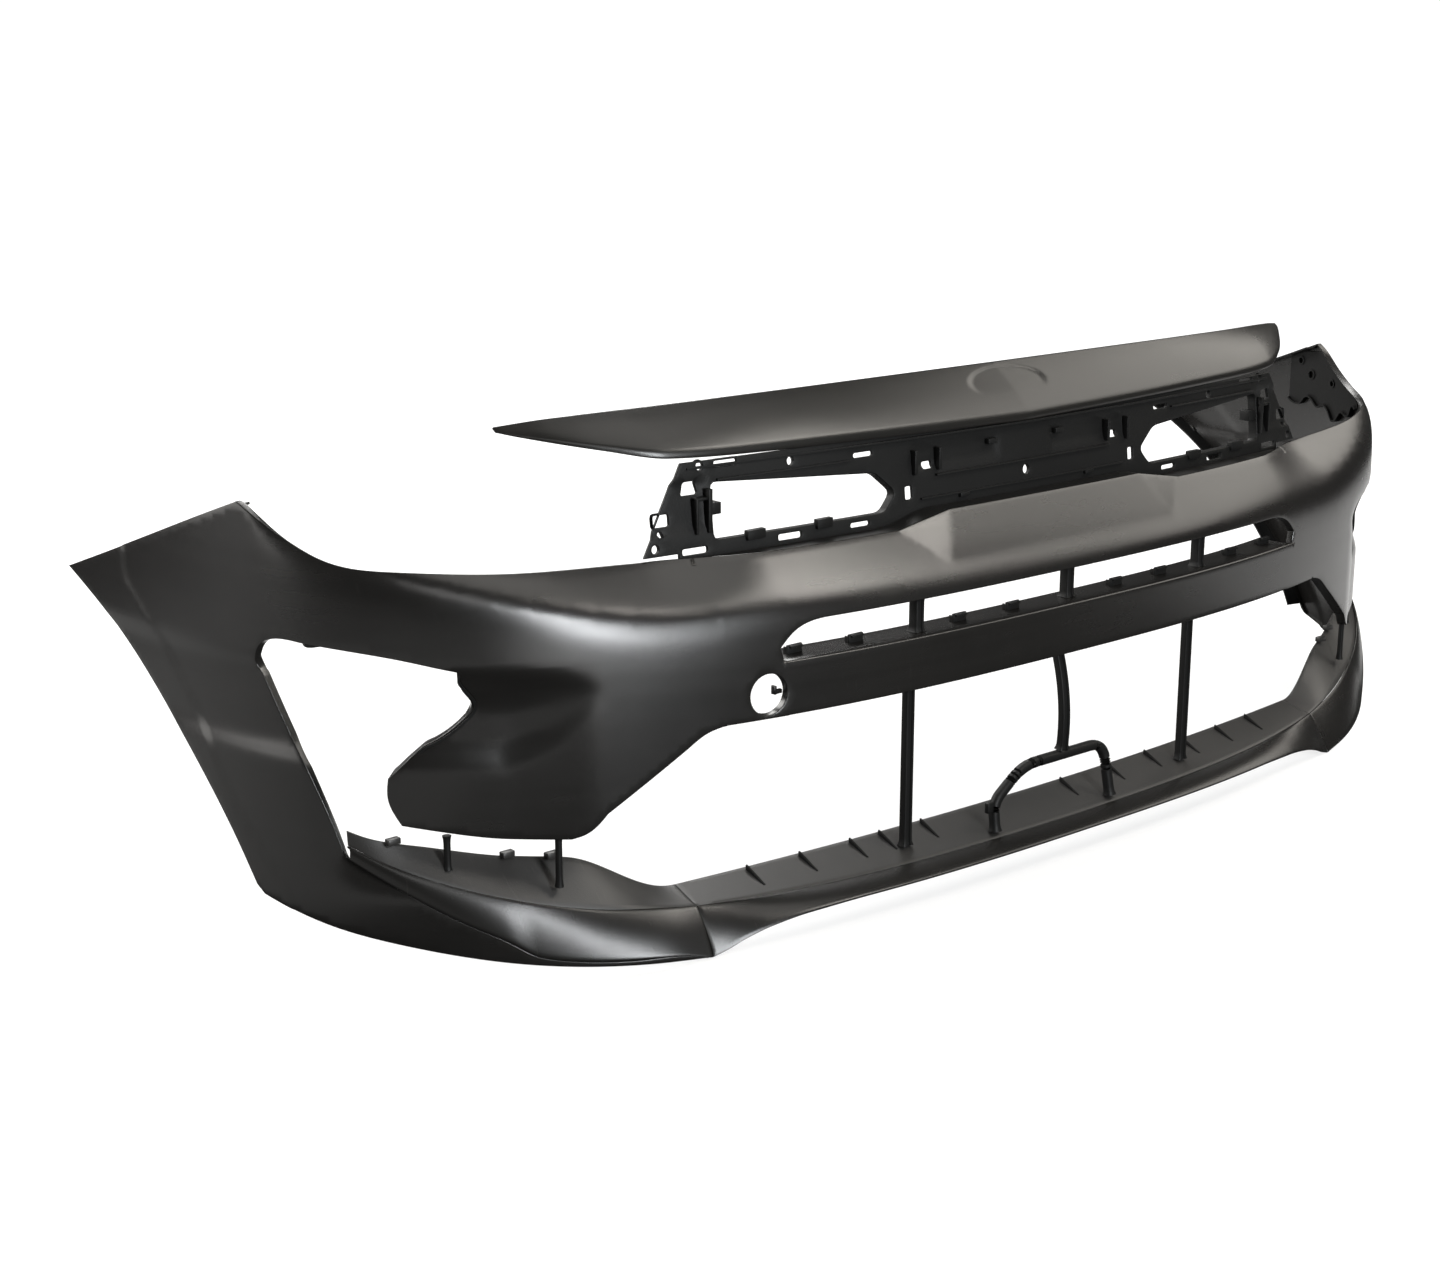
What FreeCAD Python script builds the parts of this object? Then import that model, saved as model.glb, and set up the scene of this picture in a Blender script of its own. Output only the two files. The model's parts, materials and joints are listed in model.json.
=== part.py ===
import FreeCAD, Part
import math
import os
from functools import lru_cache

# Front bumper cover of a small car, unpainted, as one rigid assembly.
# Millimetres. +X is the car's left, the face looks along -Y, +Z is up.
# x = 0 is the symmetry plane, y = 0 the middle of the depth, z = 0 the lowest edge.

V = FreeCAD.Vector

# ---------------------------------------------------------------- driving sizes
half_width = 880.0        # symmetry plane to the outermost point of the side
side_length = 656.0       # nose of the skin to the rear end of the side
rear_trim = 34.0          # the rear tip ends this far short of the side's end
wall = 3.0                # moulded skin
rib_wall = 2.5            # ribs, flanges and brackets
joint_gap = 0.3           # between neighbouring pieces

lip_proud = 26.0          # how far the lower lip stands in front of the skin
lip_edge_z = 31.0         # lower edge of the lip's sloped face at the middle
lip_crest_z = 37.0        # upper edge of that face at the middle
shelf_depth = 92.0        # nose of the skin back to the rear edge of the shelf
shelf_rise = 19.0         # the shelf climbs this much from crest to rear edge
shelf_bow = 30.0          # the rear edge of the shelf is bowed forward this much
cheek_hollow = 14.0       # the cheek is drawn in this much below the shoulder
step_back = 335.0         # the lip steps down to the wing's lower edge this far before the corner
intake_height = 172.0     # rear edge of the shelf to the number plate bar
bar_height = 56.0         # front face of the number plate bar
bar_ledge = 50.0          # the bar's top and bottom flanges reach back this far
slot_height = 38.0        # upper slot between the bar and the band
band_height = 63.0        # band above the slot, beside the notch
band_crown = 13.0         # the band's middle stands this much higher
frame_height = 94.0       # open grille frame above the band
frame_setback = 84.0      # nose of the skin back to the frame's foot at the middle
frame_sweep = 26.65       # the frame's lower ends lie this much further back
frame_lean = 0.12         # and it leans back this much for each unit of height
panel_height = 51.0       # upper panel above the frame
panel_setback = 82.0      # nose of the skin back to the panel's lower edge
panel_lean = 62.0         # its top edge lies this much behind its lower edge
post_size = 12.0          # width of the posts in the intake and the slot
post_share = 0.479        # the outer posts stand at this share of the way to the seam
post_setback = 36.0       # nose of the skin back to the lower posts' axis
slot_post_setback = 27.0  # and to the short posts in the slot
hoop_tube = 12.0          # section of the hoop on the shelf
hoop_height = 62.0        # hoop above the shelf
hoop_x0 = -114.0          # the hoop's two feet
hoop_x1 = 76.0
tow_hole_r = 21.0         # tow eye opening in the bar, right-hand side only
tow_hole_back = 414.0     # its centre lies this far before the corner
seam_back = 366.0         # seam between wings and middle pieces, this far before the corner
screw_r = 3.5             # holes for the screws into arch liner and undertray

# ---------------------------------------------------------------- levels
shelf_z = lip_crest_z + shelf_rise
bar_z = shelf_z + intake_height
ledge_z = bar_z + bar_height
slot_z = ledge_z + slot_height
crease_z = slot_z + 7.0
band_z = slot_z + band_height
frame_z = band_z + frame_height
panel_z = frame_z + panel_height
overall_depth = side_length - rear_trim + lip_proud
nose_y = lip_proud - overall_depth / 2.0


# ---------------------------------------------------------------- helpers
def profile(points):
    """Smooth curve through (position, value) points that never overshoots them."""
    xs = [p[0] for p in points]
    ys = [p[1] for p in points]
    slopes = [(ys[i + 1] - ys[i]) / (xs[i + 1] - xs[i]) for i in range(len(xs) - 1)]
    tangents = [slopes[0]]
    for a, b in zip(slopes[:-1], slopes[1:]):
        tangents.append(0.0 if a * b <= 0 else 2.0 * a * b / (a + b))
    tangents.append(slopes[-1])

    def value(x):
        x = min(max(x, xs[0]), xs[-1])
        i = 0
        while i < len(xs) - 2 and x > xs[i + 1]:
            i += 1
        h = xs[i + 1] - xs[i]
        t = (x - xs[i]) / h
        low = ys[i] * (1 + 2 * t) + h * t * tangents[i]
        high = ys[i + 1] * (3 - 2 * t) - h * (1 - t) * tangents[i + 1]
        return low * (1 - t) ** 2 + high * t ** 2

    return value


def ramp(x, start, end):
    """0 before start, 1 after end, smooth between."""
    t = min(max((x - start) / (end - start), 0.0), 1.0)
    return t * t * (3 - 2 * t)


def hinge(x, radius):
    """0 well below x = 0, x well above it, rounded between."""
    return (x + math.sqrt(x * x + radius * radius)) / 2.0


def grid_face(rows):
    surface = Part.BSplineSurface()
    surface.interpolate(rows)
    return surface


def slab(front, back):
    """Closed solid between two grids of points that have the same layout."""
    outer = grid_face(front)
    inner = grid_face(back)
    faces = [outer.toShape(), inner.toShape()]
    u0, u1, v0, v1 = outer.bounds()
    p0, p1, q0, q1 = inner.bounds()
    pairs = [(outer.uIso(u0), inner.uIso(p0)), (outer.uIso(u1), inner.uIso(p1)),
             (outer.vIso(v0), inner.vIso(q0)), (outer.vIso(v1), inner.vIso(q1))]
    for a, b in pairs:
        faces.append(Part.makeRuledSurface(a.toShape(), b.toShape()))
    shell = Part.Shell(faces)
    shell.sewShape()
    solid = Part.Solid(shell)
    if solid.Volume < 0:
        solid.reverse()
    return solid


def thicken(front, thickness):
    """Copy of a grid, moved by the thickness along its own normals, away from -Y."""
    rows = []
    last_i = len(front) - 1
    last_j = len(front[0]) - 1
    for i, row in enumerate(front):
        moved = []
        for j, point in enumerate(row):
            along = front[min(i + 1, last_i)][j] - front[max(i - 1, 0)][j]
            across = row[min(j + 1, last_j)] - row[max(j - 1, 0)]
            normal = along.cross(across)
            normal.normalize()
            moved.append(point - normal * thickness)
        rows.append(moved)
    return rows


def spaced(start, end, count):
    return [start + (end - start) * i / (count - 1) for i in range(count)]


def run_edge(points):
    """A straight edge through two points, a spline through more."""
    if len(points) == 2:
        return Part.makeLine(points[0], points[1])
    curve = Part.BSplineCurve()
    curve.interpolate(points)
    return curve.toShape()


def prism(runs, direction, reach):
    """Solid whose outline is the given runs of 3-D points, seen along a direction."""
    axis = V(direction)
    axis.normalize()
    edges = []
    for run in runs:
        flat = [p - axis * p.dot(axis) for p in run]
        edges.append(run_edge(flat))
    wire = Part.Wire(Part.__sortEdges__(edges))
    face = Part.Face(wire)
    centre = sum((p.dot(axis) for run in runs for p in run)) / sum(len(run) for run in runs)
    face.translate(axis * (centre - reach))
    return face.extrude(axis * (2 * reach))


def rounded(points, radius, closed=True):
    """Edges through the points in order, every corner turned into an arc."""
    count = len(points)
    starts, ends, arcs = [], [], []
    for i, point in enumerate(points):
        if not closed and i in (0, count - 1):
            starts.append(point)
            ends.append(point)
            arcs.append(None)
            continue
        back = points[i - 1] - point
        ahead = points[(i + 1) % count] - point
        angle = back.getAngle(ahead)
        back.normalize()
        ahead.normalize()
        reach = radius / math.tan(angle / 2.0)
        middle = back + ahead
        middle.normalize()
        nearest = radius / math.sin(angle / 2.0) - radius
        starts.append(point + back * reach)
        ends.append(point + ahead * reach)
        arcs.append(Part.Arc(starts[-1], point + middle * nearest, ends[-1]).toShape())
    edges = []
    for i in range(count if closed else count - 1):
        edges.append(Part.makeLine(ends[i], starts[(i + 1) % count]))
        if arcs[(i + 1) % count] is not None:
            edges.append(arcs[(i + 1) % count])
    return edges


def punch(points, radius, y0, y1):
    """Straight cut along Y with a rounded outline given as (x, z) points."""
    edges = rounded([V(x, y0, z) for x, z in points], radius)
    face = Part.Face(Part.Wire(Part.__sortEdges__(edges)))
    return face.extrude(V(0, y1 - y0, 0))


def bar_punch(x, z, width, height, y0, y1, radius=2.0):
    w, h = width / 2.0, height / 2.0
    return punch([(x - w, z - h), (x + w, z - h), (x + w, z + h), (x - w, z + h)],
                 radius, y0, y1)


def pin(x, y, z, direction, radius, length):
    return Part.makeCylinder(radius, length, V(x, y, z), V(direction))


def mirrored(shape):
    return shape.mirror(V(0, 0, 0), V(1, 0, 0))


def both(solids):
    return solids + [mirrored(s) for s in solids]


def biggest(shape):
    return max(shape.Solids, key=lambda s: s.Volume)


nodes = {}


def save(name, shape):
    solids = shape.Solids
    nodes[name] = solids[0] if len(solids) == 1 else Part.makeCompound(solids)


# ---------------------------------------------------------------- plan curve
plan_points = [
    (0.0, 0.0),
    (half_width - 580.0, 11.0),
    (half_width - 280.0, 72.0),
    (half_width - 160.0, 126.0),
    (half_width - 80.0, 196.0),
    (half_width - 33.0, 296.0),
    (half_width - 12.0, 436.0),
    (half_width, side_length),
]
plan = Part.BSplineCurve()
plan.interpolate(Points=[V(x, nose_y + y, 0) for x, y in plan_points],
                 InitialTangent=V(1, 0, 0), FinalTangent=V(0.05, 1, 0))
plan_end = plan.length()
corner_s = plan.length(0.0, plan.parameter(V(half_width - 80.0, nose_y + 196.0, 0)))
step_s = corner_s - step_back
seam_s = corner_s - seam_back
tow_hole_s = corner_s - tow_hole_back
post_x = post_share * seam_s


@lru_cache(maxsize=None)
def plan_at(s):
    """Point and outward normal of the plan curve, s along it from the middle."""
    u = plan.parameterAtDistance(abs(s), 0.0)
    point = plan.value(u)
    tangent = plan.tangent(u)[0]
    side = -1.0 if s < 0 else 1.0
    return side * point.x, point.y, side * tangent.y, -tangent.x


def at(s, z, inward=0.0):
    """Point at arc length s and height z, moved inward from the plan curve."""
    x, y, nx, ny = plan_at(s)
    return V(x - 0.4 * nx * inward, y + 0.95 * inward, z)


lip_fade = (step_s + 40.0, corner_s + 5.0)


def lip_stand(s):
    """How far the lip stands in front of the skin at s."""
    return lip_proud * (1.0 - ramp(abs(s), lip_fade[0], lip_fade[1]))


def crease_at(s):
    """Height of the shoulder crease, which climbs towards the headlamp."""
    a = abs(s)
    return crease_z + 0.03 * max(a - 200.0, 0.0) + 0.21 * hinge(a - corner_s + 285.0, 60.0)


def lean(s, z):
    """The shoulder leans back above the crease and dies out past the corner."""
    a = abs(s)
    slope = 1.0 + 0.5 * ramp(a, corner_s - 445.0, corner_s - 305.0)
    fade = 1.0 - ramp(a, corner_s + 15.0, corner_s + 120.0)
    return slope * fade * hinge(z - crease_at(s), 16.0)


def hollow(s, z):
    """The cheek is drawn in below the shoulder, between the intake and the side."""
    a = abs(s)
    wide = ramp(a, corner_s - 240.0, corner_s - 150.0) * (1.0 - ramp(a, corner_s - 20.0, corner_s + 60.0))
    tall = 1.0 - ramp(z, slot_z - 62.0, slot_z - 14.0)
    return cheek_hollow * wide * tall


def skin(s, z):
    """Outer surface of the cover."""
    low = 1.0 - ramp(z, lip_crest_z + 44.0, lip_crest_z + 94.0)
    return at(s, z, lean(s, z) + hollow(s, z) * (1.0 - low) - lip_stand(s) * low)


def sheet(s0, s1, z0, z1, columns, rows, thickness):
    """Piece of the skin over a rectangle of arc length and height."""
    front = [[skin(s, z) for z in spaced(z0, z1, rows)] for s in spaced(s0, s1, columns)]
    return slab(front, thicken(front, thickness))


# ---------------------------------------------------------------- wings
vertex_s = corner_s + 125.0       # highest point, where headlamp and fender meet
rear_s = plan_end - rear_trim     # rear tip
vertex_z = band_z + 74.0
tip_z = slot_z + 25.0

headlamp_edge = [(corner_s - 305.0, band_z + 1.0), (corner_s - 145.0, band_z + 9.0),
                 (corner_s - 45.0, band_z + 17.0), (corner_s + 23.0, band_z + 26.0),
                 (corner_s + 55.0, band_z + 39.0), (vertex_s, vertex_z)]
fender_edge = [(vertex_s, vertex_z), (vertex_s + 0.66 * (rear_s - vertex_s), tip_z + 37.0),
               (rear_s, tip_z)]
arch_edge = [(rear_s, tip_z), (rear_s - 100.0, tip_z - 51.0), (rear_s - 204.0, tip_z - 133.0),
             (corner_s + 147.0, shelf_z + 58.0), (corner_s + 125.0, shelf_z + 23.0)]
lower_edge = [(corner_s + 115.0, shelf_z + 15.0), (corner_s + 55.0, shelf_z),
              (corner_s - 42.0, 37.0), (corner_s - 133.0, 20.0), (corner_s - 227.0, 8.0),
              (step_s, 0.5)]
# lower edge of the lip along the wing; the wing's own edge lies one wall below it
lip_low_points = [(step_s, 0.5), (step_s + 40.0, 10.0), (corner_s - 227.0, 16.0),
                  (corner_s - 190.0, 21.0), (corner_s - 161.0, 28.0), (corner_s - 133.0, 45.0),
                  (corner_s - 88.0, 68.0), (corner_s - 42.0, 94.0), (corner_s + 14.0, 126.0)]
wing_lip_edge = profile(lip_low_points)


def seat_drop(s):
    """The lip's rim covers this much of the wing's edge, fading out at the step."""
    return (wall + joint_gap) * ramp(s, step_s, step_s + 90.0)


lip_seat = [(s, wing_lip_edge(s) - seat_drop(s)) for s in spaced(step_s, corner_s + 14.0, 17)]
fog_outer = [lip_seat[-1], (corner_s + 25.0, 151.0), (corner_s + 55.0, 211.0),
             (corner_s + 100.0, slot_z - 28.0)]
fog_top = [(corner_s + 100.0, slot_z - 28.0), (corner_s + 110.0, slot_z - 14.0),
           (corner_s + 105.0, slot_z), (corner_s + 88.0, slot_z + 9.0),
           (corner_s + 55.0, slot_z + 9.0)]
fog_brow = [(corner_s + 55.0, slot_z + 9.0), (corner_s - 45.0, slot_z - 2.0),
            (corner_s - 98.0, slot_z - 15.0)]
fog_inner = [(corner_s - 98.0, slot_z - 15.0), (corner_s - 108.0, slot_z - 38.0),
             (corner_s - 117.0, slot_z - 51.0), (corner_s - 110.0, slot_z - 64.0)]
claw = [(corner_s - 110.0, slot_z - 64.0), (corner_s - 85.0, bar_z + 11.0),
        (corner_s - 70.0, bar_z + 4.0)]
claw_back = [(corner_s - 70.0, bar_z + 4.0), (corner_s - 45.0, bar_z - 16.0),
             (corner_s - 33.0, bar_z - 27.0)]
claw_tip = [(corner_s - 33.0, bar_z - 27.0), (corner_s - 32.0, bar_z - 47.0),
            (corner_s - 45.0, bar_z - 74.0)]
cheek_edge = [(corner_s - 45.0, bar_z - 74.0), (corner_s - 80.0, bar_z - 80.0),
              (corner_s - 145.0, bar_z - 91.0), (corner_s - 205.0, bar_z - 95.0)]
cheek_corner = [(corner_s - 205.0, bar_z - 95.0), (corner_s - 218.0, bar_z - 91.0),
                (corner_s - 240.0, bar_z - 72.0)]
intake_side = [(corner_s - 240.0, bar_z - 72.0), (corner_s - 325.0, bar_z - 17.0)]
intake_corner = [(corner_s - 325.0, bar_z - 17.0), (corner_s - 345.0, bar_z - 5.0),
                 (seam_s, bar_z)]
past_seam = seam_s - 40.0
seam_edge = [(seam_s, bar_z), (past_seam, bar_z)]
seam_side = [(past_seam, bar_z), (past_seam, band_z + 1.0)]
band_edge = [(past_seam, band_z + 1.0), (corner_s - 305.0, band_z + 1.0)]
arch_corner = [(corner_s + 125.0, shelf_z + 23.0), (corner_s + 115.0, shelf_z + 15.0)]

wing_runs = [band_edge, headlamp_edge, fender_edge, arch_edge, arch_corner, lower_edge,
             lip_seat, fog_outer, fog_top, fog_brow, fog_inner, claw, claw_back,
             claw_tip, cheek_edge, cheek_corner, intake_side, intake_corner, seam_edge, seam_side]
wing_view = V(-math.sin(math.radians(50.0)), math.cos(math.radians(50.0)), 0)

wing_sheet = sheet(seam_s + joint_gap, plan_end - 10.0, -12.0, vertex_z + 12.0, 44, 34, wall)
wing_block = prism([[skin(s, z) for s, z in run] for run in wing_runs], wing_view, 900.0)
wing = biggest(wing_sheet.common(wing_block))
save("wing_left", wing)
save("wing_right", mirrored(wing))


# ---------------------------------------------------------------- lip and shelf
lip_edge = profile([(0.0, lip_edge_z), (step_s - 191.0, lip_edge_z - 1.0),
                    (step_s - 111.0, lip_edge_z - 4.0), (step_s - 66.0, lip_edge_z - 10.0),
                    (step_s - 36.0, lip_edge_z - 18.0), (step_s - 18.0, lip_edge_z - 25.0),
                    (step_s, 0.5)])
crest = profile([(0.0, lip_crest_z), (corner_s - 546.0, lip_crest_z + 2.0),
                 (corner_s - 346.0, lip_crest_z + 8.0),
                 (corner_s - 295.0, lip_crest_z + 13.0), (corner_s - 245.0, lip_crest_z + 19.0),
                 (corner_s - 195.0, lip_crest_z + 29.0), (corner_s - 145.0, lip_crest_z + 42.0),
                 (corner_s - 95.0, lip_crest_z + 57.0), (corner_s - 45.0, lip_crest_z + 74.0),
                 (corner_s + 12.0, lip_crest_z + 98.0)])
crest_back = 5.0
# rear edge of the shelf beside the intake and along the slit: height and depth behind the skin
slit_z = profile([(step_s, shelf_z), (corner_s - 330.0, shelf_z), (corner_s - 220.0, shelf_z + 46.0),
                  (corner_s - 177.0, shelf_z + 52.0), (corner_s - 145.0, shelf_z + 56.0),
                  (corner_s - 80.0, shelf_z + 70.0), (corner_s - 15.0, shelf_z + 84.0),
                  (corner_s + 12.0, shelf_z + 92.0)])
slit_back = profile([(step_s, 46.0), (corner_s - 145.0, 45.0), (corner_s - 80.0, 35.0),
                     (corner_s - 15.0, 15.0), (corner_s + 12.0, 9.0)])


def lip_rows(edge, s0, s1, columns, rim=False):
    rows = []
    for s in spaced(s0, s1, columns):
        low = at(s, edge(abs(s)) + joint_gap, -lip_stand(s))
        high = at(s, crest(abs(s)), crest_back)
        swell = V(0, -1.5, 1.5)
        row = [low + (high - low) * t + swell * (4 * t * (1 - t)) for t in spaced(0, 1, 5)]
        if rim:
            row = [low - V(0, 0, seat_drop(s) + 0.01)] + row
        rows.append(row)
    return rows


def shelf_front(s):
    return at(s, crest(abs(s)) + 0.5, crest_back + wall + joint_gap)


slit_start = at(step_s, shelf_z, slit_back(step_s))


def shelf_rear(s):
    if abs(s) <= step_s:
        bow = (slit_start.y - nose_y - shelf_depth + shelf_bow) * (s / step_s) ** 2
        x = at(s, shelf_z).x * slit_start.x / at(step_s, shelf_z).x
        return V(x, nose_y + shelf_depth - shelf_bow + bow, shelf_z)
    return at(s, slit_z(abs(s)), slit_back(abs(s)))


def shelf_rows(s0, s1, columns):
    rows = []
    for s in spaced(s0, s1, columns):
        front, rear = shelf_front(s), shelf_rear(s)
        rows.append([front + (rear - front) * t for t in spaced(0, 1, 5)])
    return rows


lip_rows_middle = lip_rows(lip_edge, -step_s, step_s, 41)
lip_middle = slab(lip_rows_middle, thicken(lip_rows_middle, wall))
save("lower_lip_center", lip_middle)

lip_rows_side = lip_rows(wing_lip_edge, step_s + joint_gap, corner_s + 12.0, 27, rim=True)
lip_side = slab(lip_rows_side, thicken(lip_rows_side, wall))
save("lower_lip_left", lip_side)
save("lower_lip_right", mirrored(lip_side))

shelf_middle_rows = shelf_rows(-step_s, step_s, 31)
shelf = slab(shelf_middle_rows, thicken(shelf_middle_rows, wall))
undertray_x = step_s - 181.0
undertray_y = nose_y + shelf_depth - shelf_bow - 6.0
for x in (-undertray_x, undertray_x):
    shelf = shelf.cut(pin(x, undertray_y, shelf_z - 20.0, (0, 0, 1), screw_r, 40.0))
save("intake_shelf", shelf)

shelf_side_rows = shelf_rows(step_s + joint_gap, corner_s + 12.0, 25)
shelf_side = slab(shelf_side_rows, thicken(shelf_side_rows, wall))
save("slit_shelf_left", shelf_side)
save("slit_shelf_right", mirrored(shelf_side))


def shelf_height(x, y):
    """Top of the middle shelf, away from its ends."""
    front, rear = shelf_front(x), shelf_rear(x)
    return front.z + (rear.z - front.z) * (y - front.y) / (rear.y - front.y)


# ---------------------------------------------------------------- middle of the face
slot_tip = corner_s - 428.0
slot_outline = [(-slot_tip, ledge_z + 14.0), (-slot_tip + 17.0, slot_z - 9.0),
                (-slot_tip + 42.0, slot_z - 1.0), (-slot_tip + 67.0, slot_z)]
notch_out, notch_in = 0.477 * seam_s, 0.323 * seam_s

band_sheet = sheet(-seam_s, seam_s, ledge_z - 5.0, band_z + band_crown + 4.0, 45, 22, wall)
low_z = ledge_z + joint_gap
past_end = seam_s + 25.0          # the outline runs past the sheet's own ends
top_line = [(-past_end, band_z + 1.0), (-notch_out, band_z), (-notch_in, band_z + band_crown),
            (notch_in, band_z + band_crown), (notch_out, band_z), (past_end, band_z + 1.0)]
foot = slot_tip - 12.0
bottom_line = [(past_end, low_z), (foot, low_z)]
bottom_line += [(-x, z) for x, z in slot_outline]
bottom_line += [(x, z) for x, z in reversed(slot_outline)]
bottom_line += [(-foot, low_z), (-past_end, low_z)]
points = [skin(s, z) for s, z in top_line + bottom_line]
runs = [[a, b] for a, b in zip(points, points[1:] + points[:1])]
band = biggest(band_sheet.common(prism(runs, (0, 1, 0), 400.0)))


def flange(s0, s1, z, front, back, thickness, columns=25):
    """Level plate from just inside the skin's face back to a depth."""
    rows = []
    for s in spaced(s0, s1, columns):
        depths = spaced(lean(s, z) + front, back, 4)
        rows.append([at(s, z, d) for d in depths])
    floor = [[p - V(0, 0, thickness) for p in row] for row in rows]
    return slab(rows, floor)


slot_flat = slot_tip - 70.0
band_flange = flange(-slot_flat, slot_flat, slot_z + rib_wall, 1.6, bar_ledge, rib_wall)
band = band.fuse(band_flange)
save("center_band", band)

bar = sheet(-seam_s, seam_s, bar_z, ledge_z, 41, 6, wall)
ledge = flange(-slot_tip + 8.0, slot_tip - 8.0, ledge_z, 1.2, bar_ledge, rib_wall)
sole = flange(-slot_tip + 40.0, slot_tip - 40.0, bar_z + rib_wall, 1.2, bar_ledge, rib_wall)
tow_point = at(-tow_hole_s, bar_z + 25.0)
bar = bar.fuse(ledge).fuse(sole)
bar = bar.cut(pin(tow_point.x, nose_y - 20.0, tow_point.z, (0, 1, 0), tow_hole_r, 80.0))
save("number_plate_bar", bar)


# ---------------------------------------------------------------- posts, hoop, ties
post_y = nose_y + post_setback


def post(x, z0, z1, bow=0.0, depth=9.0, foot_y=post_y, head_y=post_y):
    """Upright post, rectangular in section, its middle bowed forward."""
    half = depth / 2.0
    front = [V(x - post_size / 2.0, foot_y - half, z0),
             V(x - post_size / 2.0, (foot_y + head_y) / 2.0 - half - bow, (z0 + z1) / 2.0),
             V(x - post_size / 2.0, head_y - half, z1)]
    back = [p + V(0, depth, 0) for p in front]
    if bow:
        front_edge = Part.Arc(*front).toShape()
        back_edge = Part.Arc(*back).toShape()
    else:
        front_edge = Part.makeLine(front[0], front[2])
        back_edge = Part.makeLine(back[0], back[2])
    edges = [front_edge, Part.makeLine(front[2], back[2]), back_edge,
             Part.makeLine(back[0], front[0])]
    face = Part.Face(Part.Wire(Part.__sortEdges__(edges)))
    return face.extrude(V(post_size, 0, 0))


post_foot = shelf_height(post_x, post_y + 5.0) + joint_gap
post_head = bar_z - joint_gap
side_post = post(post_x, post_foot, post_head)
save("intake_post_left", side_post)
save("intake_post_right", mirrored(side_post))

hoop_foot_y = nose_y + 14.0
hoop_top_y = post_y - 14.0
hoop_z = shelf_height(hoop_x0, hoop_foot_y + hoop_tube / 2.0) + joint_gap + 0.6
hoop_top_z = hoop_z + hoop_height
hoop_path = [V(hoop_x0, hoop_foot_y, hoop_z),
             V(hoop_x0, hoop_foot_y + 4.0, hoop_z + 0.5 * hoop_height),
             V(hoop_x0 + 50.0, hoop_top_y, hoop_top_z),
             V(hoop_x1 - 6.0, hoop_top_y, hoop_top_z),
             V(hoop_x1, hoop_foot_y, hoop_z)]
hoop_wire = Part.Wire(Part.__sortEdges__(rounded(hoop_path, 18.0, closed=False)))
ring = Part.Wire(Part.makeCircle(hoop_tube / 2.0, hoop_path[0], hoop_path[1] - hoop_path[0]))
hoop = hoop_wire.makePipeShell([ring], True, False, 2)
save("center_hoop", hoop)
center_post = post(0.0, hoop_top_z + hoop_tube / 2.0 + joint_gap, post_head, bow=7.0,
                   foot_y=hoop_top_y, head_y=post_y)
save("intake_post_center", center_post)

slot_foot = ledge_z + joint_gap
slot_head = slot_z - joint_gap
slot_post_y = nose_y + slot_post_setback
slot_post = post(post_x, slot_foot, slot_head, depth=12.0, foot_y=slot_post_y, head_y=slot_post_y)
save("slot_post_left", slot_post)
save("slot_post_right", mirrored(slot_post))
save("slot_post_center", post(3.0, slot_foot, slot_head, depth=12.0, foot_y=slot_post_y,
                              head_y=slot_post_y))


def tie(s):
    """Short upright strut from the cheek's lower edge down to the shelf."""
    top = skin(s, bar_z - 86.0)
    nx, ny = plan_at(s)[2:]
    top = top - V(nx, ny, 0) * (wall + 4.0)
    depth = (top - at(s, 0)).Length
    front, rear = shelf_front(s), shelf_rear(s)
    share = min(max((depth - crest_back - wall) / max(slit_back(s) - crest_back - wall, 1.0), 0.0), 1.0)
    foot_z = front.z + (rear.z - front.z) * share + 4.0
    return Part.makeCylinder(3.5, top.z - foot_z, V(top.x, top.y, foot_z))


ties = [tie(corner_s - 90.0), tie(corner_s - 196.0)]
save("cheek_ties_left", Part.makeCompound(ties))
save("cheek_ties_right", Part.makeCompound([mirrored(t) for t in ties]))


# ---------------------------------------------------------------- upper panel
panel_half = corner_s - 223.0
panel_low_z = profile([(0.0, frame_z - 8.0), (panel_half - 430.0, frame_z - 5.0),
                       (panel_half - 225.0, frame_z - 2.0),
                       (panel_half - 144.0, frame_z + 1.0), (panel_half - 85.0, frame_z + 12.0),
                       (panel_half - 17.0, frame_z + 27.0), (panel_half, frame_z + 32.0)])
panel_low_y = profile([(0.0, 0.0), (panel_half - 430.0, 7.0), (panel_half - 225.0, 24.0),
                       (panel_half - 144.0, 38.0), (panel_half - 85.0, 68.0),
                       (panel_half - 17.0, 122.0), (panel_half, 138.0)])
panel_top_z = profile([(0.0, panel_z), (panel_half - 338.0, panel_z - 1.0), (panel_half - 138.0, panel_z - 5.0),
                       (panel_half - 50.0, panel_z - 10.0), (panel_half, panel_z - 16.0)])
panel_top_y = profile([(0.0, 0.0), (panel_half - 338.0, 6.0), (panel_half - 234.0, 15.0),
                       (panel_half - 138.0, 31.0), (panel_half - 50.0, 58.0), (panel_half, 79.0)])
panel_end = panel_half - 4.0
panel_rows = []
for x in spaced(-panel_end, panel_end, 61):
    low = V(x, nose_y + panel_setback + panel_low_y(abs(x)), panel_low_z(abs(x)))
    high = V(x, nose_y + panel_setback + panel_lean + panel_top_y(abs(x)), panel_top_z(abs(x)))
    swell = V(0, -0.7, 0.7) * min(6.0, 0.12 * (high.z - low.z))
    panel_rows.append([low + (high - low) * t + swell * (4 * t * (1 - t))
                       for t in spaced(0, 1, 7)])
panel = slab(panel_rows, thicken(panel_rows, wall))
save("upper_panel", panel)


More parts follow.
